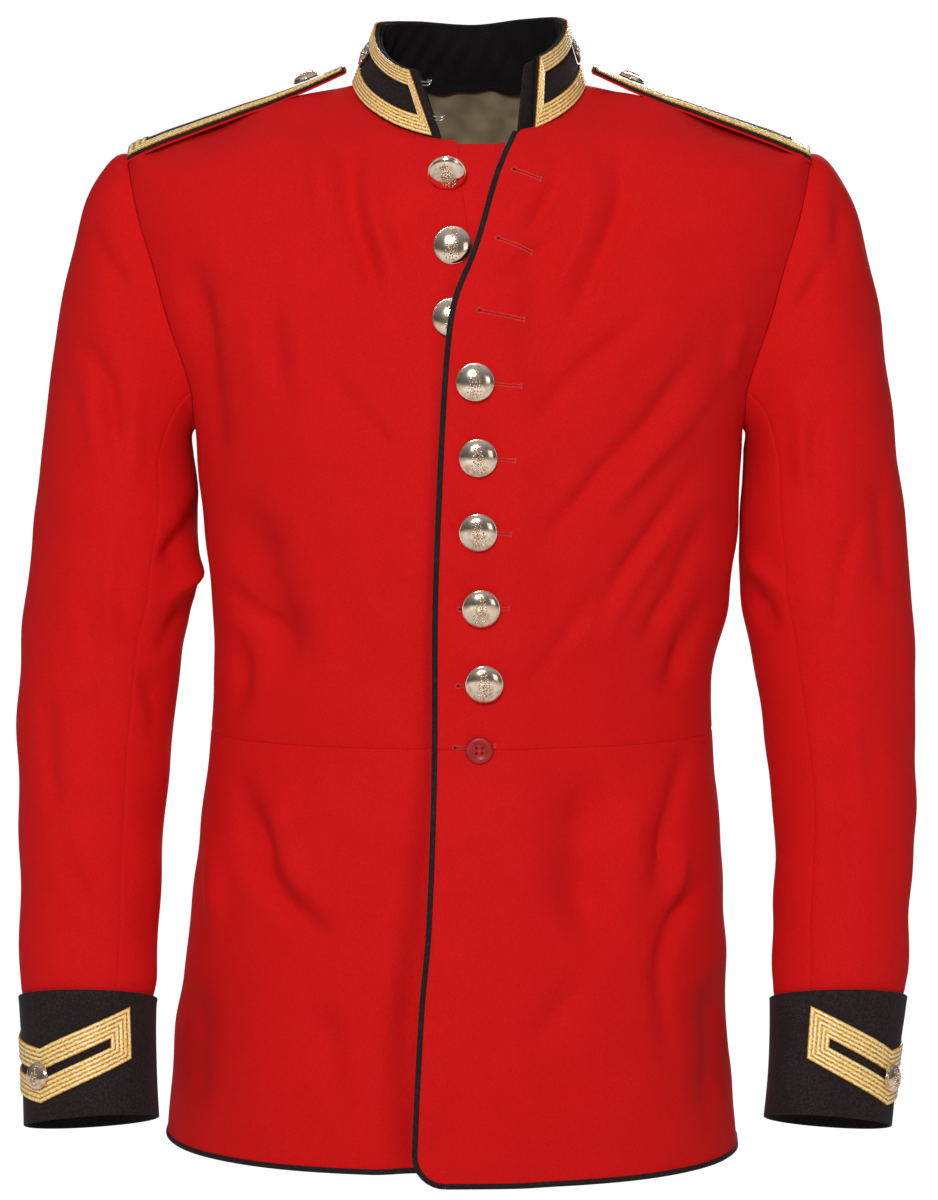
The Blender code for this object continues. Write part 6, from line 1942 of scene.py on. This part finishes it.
@dataclass
class Buttons(Maker):
    """All the buttons and the collar badges."""

    # Distance from the centre, height, outward step; droop and the crest's turn in degrees.
    front: Points = ((-0.0145, -0.061, 0.0092, 60.0, 14.0), (-0.0108, -0.1057, 0.0, 8.0, -9.0),
        (-0.0115, -0.1525, -0.0002, 0.0, 5.0), (0.004, -0.1947, 0.0, 0.0, -4.0),
        (0.006, -0.2446, 0.0, 0.0, 3.0), (0.006, -0.2938, 0.0, 0.0, 8.0),
        (0.008, -0.345, 0.0, 0.0, -6.0), (0.01, -0.3962, 0.0, 0.0, 2.0))
    undone: int = 3  # the highest ones lie on the right front
    room: float = 0.0005  # between a shank and its cloth
    waist: tuple = (0.0068, -0.4415, 0.0093, 0.0028)  # across, height, radius, thickness
    waist_droop: float = 7.0  # degrees
    # The flat button's section, top to bottom, of its radius and thickness.
    waist_profile: Points = ((0.0, 0.62), (0.42, 0.62), (0.5, 0.66), (0.58, 0.9), (0.68, 1.0),
        (0.82, 1.0), (0.93, 0.9), (1.0, 0.6), (1.0, 0.36), (0.94, 0.1), (0.86, 0.0), (0.0, 0.0))
    hole: tuple = (0.001, 0.0018)  # radius; from its centre lines
    hole_profile: Points = ((0.0, 4.0), (1.0, 4.0), (1.0, -1.0), (0.0, -1.0))  # of its radius
    # Half a sewing thread's stops: from the button's middle, and up from its face.
    thread_stops: Points = ((0.0013, -0.001), (0.0011, 0.0001))
    thread_top: float = 0.0004
    thread: tuple = (0.00018, 0.00022)  # radius; from its crossing's middle line
    badge: tuple = (0.0092, 0.0046)  # radius, height
    # The badge's plate and its backing, top to bottom, of its radius and height.
    plate_profile: Points = ((0.0, 0.62), (0.3, 0.6), (0.42, 0.5), (0.8, 0.42), (0.86, 0.46),
        (0.92, 0.42), (0.93, 0.32), (0.0, 0.32))
    backing_profile: Points = ((0.0, 0.3), (0.96, 0.3), (1.0, 0.22), (1.0, 0.04), (0.96, 0.0), (0.0, 0.0))
    # Its rays and its beads: how many, their middle, length and width of its radius, their
    # height and level of its height, and their tilt in radians.
    badge_rings: tuple = ((12, 0.56, 0.5, 0.15, 0.3, 0.46, 0.04), (6, 0.18, 0.2, 0.2, 0.4, 0.66, 0.0))

    def __post_init__(self) -> None:
        """Makes the crests once."""
        self.circlet = Circlet()
        self.crests = {dome: dome.ornament(self.circlet) for dome in (BIG_DOME, SMALL_DOME, STRAP_DOME)}

    def place(self, node: str, dome: Dome, matrix: Matrix) -> None:
        """Sets a domed button and its crest."""
        self.wardrobe.add_shape(node + "_metal", dome.body().moved(matrix), PLATED, node)
        self.wardrobe.add_shape(node + "_crest", self.crests[dome].moved(matrix), CHASED)

    def on_front(self, x: float, z: float, out: float, lapped: bool) -> Faced:
        """A foot off the front at a distance from the centre, and the front's normal."""
        foot, normal = surface_frame(self.body.surface, self.body.front_angle(x, z), z)
        return foot + normal * (out + (float(self.body.lap(x, z)) if lapped else 0.0)), normal

    def make_front(self) -> None:
        """The eight large domes; the three highest hang undone on the right front."""
        for number, (x, z, step, droop, spin) in enumerate(self.front):
            foot, normal = self.on_front(x, z, self.room + step, number >= self.undone)
            self.place("button_%d" % (number + 1), BIG_DOME, seat(foot, normal, spin, droop))

    def make_waist(self) -> None:
        """The flat four-holed button at the waist seam."""
        x, z, radius, thickness = self.waist
        matrix = seat(*self.on_front(x, z, 3 * self.room, True), droop=self.waist_droop)
        reach, off = self.hole
        pin = lathe([(reach * across, reach * up) for across, up in self.hole_profile], 14)
        disc = lathe([(radius * across, thickness * up) for across, up in self.waist_profile], 48)
        signs = [(across, up) for across in (-1, 1) for up in (-1, 1)]
        holes = joined([pin.moved(Matrix.Translation((across * off, up * off, 0))) for across, up in signs])
        whole, cutter = (bpy.data.objects.new(name, shape.mesh(name))
                         for name, shape in (("disc", disc), ("holes", holes)))
        for item in (whole, cutter):
            bpy.context.scene.collection.objects.link(item)
        modifier = whole.modifiers.new("holes", "BOOLEAN")
        modifier.operation = "DIFFERENCE"
        modifier.object = cutter
        pierced = result_of(whole)
        bpy.data.meshes.remove(cutter.data)
        self.wardrobe.add_shape("button_waist_disc", pierced.moved(matrix), RED_BUTTON, "button_waist")
        threads = []
        level = thickness * self.waist_profile[0][1]
        thin, apart = self.thread
        for slope in (1, -1):
            for side in (-apart, apart):
                ends = [[(way * far + side, way * slope * far, level + up)
                         for far, up in self.thread_stops] for way in (-1, 1)]
                stops = [*ends[0], (side, 0.0, level + self.thread_top), *ends[1][::-1]]
                threads.append(sweep(smooth_path(stops, 16), np.tile(UP, (16, 1)), thin, thin, 6))
        self.wardrobe.add_shape("button_waist_thread", joined(threads).moved(matrix), RED_THREAD)

    def make_cuff(self, sleeve: Sleeve) -> None:
        """The small dome at the point of a cuff's lace."""
        rise = (sleeve.chevron_foot + sleeve.chevron_band + sleeve.chevron_slot / 2) / sleeve.cuff_height
        foot, normal = surface_frame(sleeve.form.cuff, sleeve.chevron_turn, rise, -sleeve.side.value)
        self.place("button_cuff_" + sleeve.side.word, SMALL_DOME,
                   seat(foot + normal * (CUFF_OUT + self.room), normal))

    def make_strap(self, strap: Strap) -> None:
        """The small dome near a strap's tip."""
        along = (strap.span[0] - strap.button_x) / (strap.span[0] - strap.span[1])
        _, low, wall, _ = strap.layers[1]
        before, foot, after = (strap.surface(along + step, 0.0) for step in (-SAMPLE, 0.0, SAMPLE))
        outward = Vector((0, strap.side.value, 0)).cross(Vector(after - before)).normalized()
        foot = Vector(foot + UP * (low + wall)) + outward * 2 * self.room
        self.place("button_strap_" + strap.side.word, STRAP_DOME, seat(foot, outward))

    def make_badge(self, collar: Collar, side: Side) -> None:
        """A small rayed disc on the collar, on a lacquered backing."""
        around = collar.badge_around[side is Side.RIGHT]
        matrix = seat(*collar.face(around, collar.badge_rise, 2 * SEAM))
        radius, height = self.badge
        plate, back = (lathe([(radius * across, height * up) for across, up in profile], 40)
                       for profile in (self.plate_profile, self.backing_profile))
        rings = [self.circlet.ring(count, radius * middle, (radius * long, radius * wide, height * high),
                                   Height=height * level, Tilt=tilt)
                 for count, middle, long, wide, high, level, tilt in self.badge_rings]
        node = "badge_" + side.word
        self.wardrobe.add_shape(node + "_metal", plate.moved(matrix), PLATED, node)
        self.wardrobe.add_shape(node + "_crest", joined(rings).moved(matrix), CHASED)
        self.wardrobe.add_shape(node + "_backing", back.moved(matrix), BACKING)


@dataclass
class Buttonholes(Maker):
    """The worked slots down the left front."""

    # From the slot's eye near the edge to its bar: across and up, in metres.
    slots: tuple = (((0.0298, -0.0577), (0.0476, -0.0629)), ((0.0191, -0.1021), (0.0415, -0.1099)),
        ((0.0066, -0.149), (0.0362, -0.1543)), ((0.004, -0.1947), (0.0343, -0.1977)),
        ((0.0004, -0.2446), (0.0304, -0.2466)), ((-0.0022, -0.2938), (0.0278, -0.2953)),
        ((-0.006, -0.3458), (0.0266, -0.3458)), ((-0.0073, -0.3979), (0.0225, -0.397)),
        ((-0.0094, -0.4399), (0.0174, -0.4386)))
    half: float = 0.00085  # from the slit to the row of stitches
    side_run: tuple = (1, 0.12, 16)  # that row's shares of the slot from its eye, and its stops
    eye: float = 0.0016  # radius of the round eye
    eye_turns: tuple = (48, 312, 15)  # degrees that the stitches reach round it, and their stops
    pitch: float = 0.00062
    length: float = 0.0013
    thread: float = 0.0005  # drawn a little coarse
    rise: float = 0.00012  # of the stitches above the cloth
    bar: tuple = (0.0002, 0.0017)  # half its run, across and up
    bar_rise: float = 0.0002
    bar_share: tuple[float, float] = (0.8, 1.1)  # its stitches' pitch and length, of the others'
    slit: tuple = (0.00032, 0.00022, 6)  # half its width and depth, sides
    slit_sunk: float = 0.00005
    # An eye's plug, a near-black disc of painted shade in the eye's hole; its section, top to bottom: its
    # radius, of the plug's, and its height.
    plug: Points = ((0.0, 0.00025), (0.6, 0.0002), (1.0, 0.00002), (1.0, -0.0003), (0.0, -0.0003))
    plug_reach: float = 0.62  # of the eye

    def __post_init__(self) -> None:
        """Makes the tree of the stitches."""
        self.row = StitchRow()

    def outline(self, start: Sequence[float], end: Sequence[float]) -> Array:
        """The stitches' line: out along one side from the bar, round the eye, and back."""
        start, end = np.array(start), np.array(end)
        ahead = unit(end - start)
        up = np.array((-ahead[1], ahead[0]))
        turns = np.radians(np.linspace(*self.eye_turns))[:, None]
        eye = start + self.eye * (np.cos(turns) * ahead + np.sin(turns) * up)
        run = np.linspace(*self.side_run)[:, None]
        upper = blend(start, end, run) + up * self.half
        lower = blend(start, end, run[::-1]) - up * self.half
        return np.vstack([upper, eye, lower])

    def stitch(self, line: Array, out: float, pitch: float, length: float) -> Shape:
        """A row of stitches along a line on the left front, given across and up."""
        path = path_mesh(*self.body.on_left(line[:, 0], line[:, 1], out))
        return self.row.grow(path, RED_THREAD, Pitch=pitch, Length=length, Thickness=self.thread,
            Turn=math.pi / 2)

    def make(self) -> None:
        """All slots: one piece of stitches, one of slits and one of near-black plugs of painted shade in
        the eyes.
        """
        stitches, slits, eyes = [], [], []
        reach = self.eye * self.plug_reach
        plug = lathe([(reach * across, up) for across, up in self.plug], 14)
        for start, end in self.slots:
            stitches.append(self.stitch(self.outline(start, end), self.rise, self.pitch, self.length))
            bar = np.array(end) + np.linspace(-1, 1, 6)[:, None] * np.array(self.bar)
            close, long = self.bar_share
            stitches.append(self.stitch(bar, self.bar_rise, self.pitch * close, self.length * long))
            line = np.linspace(start, end, 18)
            slits.append(sweep(*self.body.on_left(line[:, 0], line[:, 1], -self.slit_sunk), *self.slit))
            # A near-black plug of painted shade in the eye.
            eyes.append(plug.moved(seat(*self.body.on_left(*start))))
        for name, shapes, finish in (("stitches", stitches, RED_THREAD), ("slits", slits, SLIT_SHADE),
                ("eyes", eyes, EYE_SHADE)):
            self.wardrobe.add_shape("buttonhole_" + name, joined(shapes), finish)


# --- studio
@dataclass(frozen=True)
class Studio:
    """Pale floor, soft lights and the camera."""

    distance: float = 3.2
    tilt: float = 83.7  # degrees of the camera from straight down
    lens: float = 140.13
    sensor: float = 36.0
    floor: float = -0.8
    floor_side: float = 12.0
    backdrop: float = 1.05  # how bright the floor and the air look to the camera
    ambient: float = 0.55
    # Name, place, the height that it faces, the side of its square, and its power in watts.
    lights: tuple = (
        ("key", (-0.4, -3.1, 1.1), -0.35, 0.6, 60), ("fill", (1.9, -2.5, 0.1), -0.35, 1.0, 4),
        ("top", (0.1, -0.2, 2.2), -0.3, 1.4, 3), ("back", (0.7, 3.1, 1.1), -0.35, 1.0, 48))

    def place(self, name: str, data: bpy.types.ID) -> bpy.types.Object:
        """Adds an object to the scene."""
        item = bpy.data.objects.new(name, data)
        bpy.context.scene.collection.objects.link(item)
        return item

    def light(self, name: str, place: Sequence[float], aim: float, size: float, power: float) -> None:
        """A square soft light."""
        data = bpy.data.lights.new(name, "AREA")
        data.size, data.energy = size, power
        item = self.place(name, data)
        item.location = place
        item.rotation_euler = (Vector((0, 0, aim)) - Vector(place)).to_track_quat("-Z", "Y").to_euler()

    def make_floor(self) -> None:
        """A pale floor that is white to the camera from above and clear from below."""
        side = self.floor_side / 2
        corners = np.array([(x * side, y * side, self.floor)
                            for x, y in ((-1, -1), (1, -1), (1, 1), (-1, 1))])
        mesh = Shape(corners, [(0, 1, 2, 3)]).mesh("floor")
        material = bpy.data.materials.new("white_paper")
        material.use_nodes = True
        tree = material.node_tree
        paper = tree.nodes["Principled BSDF"]
        set_inputs(tree, paper, {"Base Color": linear("#E4E3E1"), "Roughness": 0.95})
        lit = add_node(tree, "ShaderNodeEmission", {"Color": (1, 1, 1, 1), "Strength": self.backdrop})
        clear = add_node(tree, "ShaderNodeBsdfTransparent")
        below = add_node(tree, "ShaderNodeNewGeometry").outputs["Backfacing"]
        seen = add_node(tree, "ShaderNodeLightPath").outputs["Is Camera Ray"]
        shown = add_node(tree, "ShaderNodeMixShader", {0: below, 1: lit, 2: clear})
        mixed = add_node(tree, "ShaderNodeMixShader", {0: seen, 1: paper, 2: shown})
        set_inputs(tree, tree.nodes["Material Output"], {"Surface": mixed})
        mesh.materials.append(material)
        self.place("floor", mesh)

    def make_world(self) -> bpy.types.World:
        """Soft light from all round, brighter overhead, and white where the camera sees it."""
        world = bpy.data.worlds.new("studio")
        world.use_nodes = True
        tree = world.node_tree
        place = add_node(tree, "ShaderNodeTexCoord").outputs["Generated"]
        high = add_node(tree, "ShaderNodeSeparateXYZ", {0: place}).outputs["Z"]
        sky = add_node(tree, "ShaderNodeValToRGB", {0: high}, ((0.0, "#6A6A6C"), (0.35, "#8E8E90"),
            (0.8, "#D8D8DA")))
        around = tree.nodes["Background"]
        set_inputs(tree, around, {"Color": sky, "Strength": self.ambient})
        white = add_node(tree, "ShaderNodeBackground", {"Color": (1, 1, 1, 1), "Strength": self.backdrop})
        seen = add_node(tree, "ShaderNodeLightPath").outputs["Is Camera Ray"]
        mixed = add_node(tree, "ShaderNodeMixShader", {0: seen, 1: around, 2: white})
        set_inputs(tree, tree.nodes["World Output"], {"Surface": mixed})
        return world

    def make(self) -> None:
        """The whole studio."""
        scene = bpy.context.scene
        scene.view_settings.view_transform = "Standard"
        data = bpy.data.cameras.new("camera")
        data.lens, data.sensor_width = self.lens, self.sensor
        camera = self.place("camera", data)
        camera.location = (0, -self.distance, 0)
        camera.rotation_euler = (math.radians(self.tilt), 0, 0)
        scene.camera = camera
        scene.world = self.make_world()
        for light in self.lights:
            self.light(*light)
        self.make_floor()


def main() -> None:
    """Builds the tunic in order."""
    logging.basicConfig(level=logging.INFO, format="%(name)s: %(message)s")
    wardrobe, body = Wardrobe(), BodyForm()
    bodice, skirt, collar, buttons = (maker(body, wardrobe) for maker in (Bodice, Skirt, Collar, Buttons))
    for side in Side:
        bodice.make_front(side)
        bodice.make_back(side)
        bodice.make_neck_lining(side)
        for front in (True, False):
            skirt.make_panel(side, front)
            skirt.make_hem_piping(side, front)
        sleeve = Sleeve(body, wardrobe, side)
        sleeve.make_piece("top", SLEEVE_BACK_SEAM - 360, SLEEVE_FRONT_SEAM[0])
        sleeve.make_piece("under", SLEEVE_FRONT_SEAM[0], SLEEVE_BACK_SEAM)
        sleeve.make_cuff()
        sleeve.make_lace()
        buttons.make_cuff(sleeve)
        strap = Strap(body, wardrobe, side)
        strap.make()
        buttons.make_strap(strap)
        collar.make_lace(side)
        buttons.make_badge(collar, side)
    bodice.make_underlap()
    skirt.make_edge_piping()
    collar.make_stand()
    collar.make_tab()
    collar.make_hooks()
    buttons.make_front()
    buttons.make_waist()
    Buttonholes(body, wardrobe).make()
    wardrobe.declare_sheets()
    Studio().make()


if __name__ == "__main__":
    main()
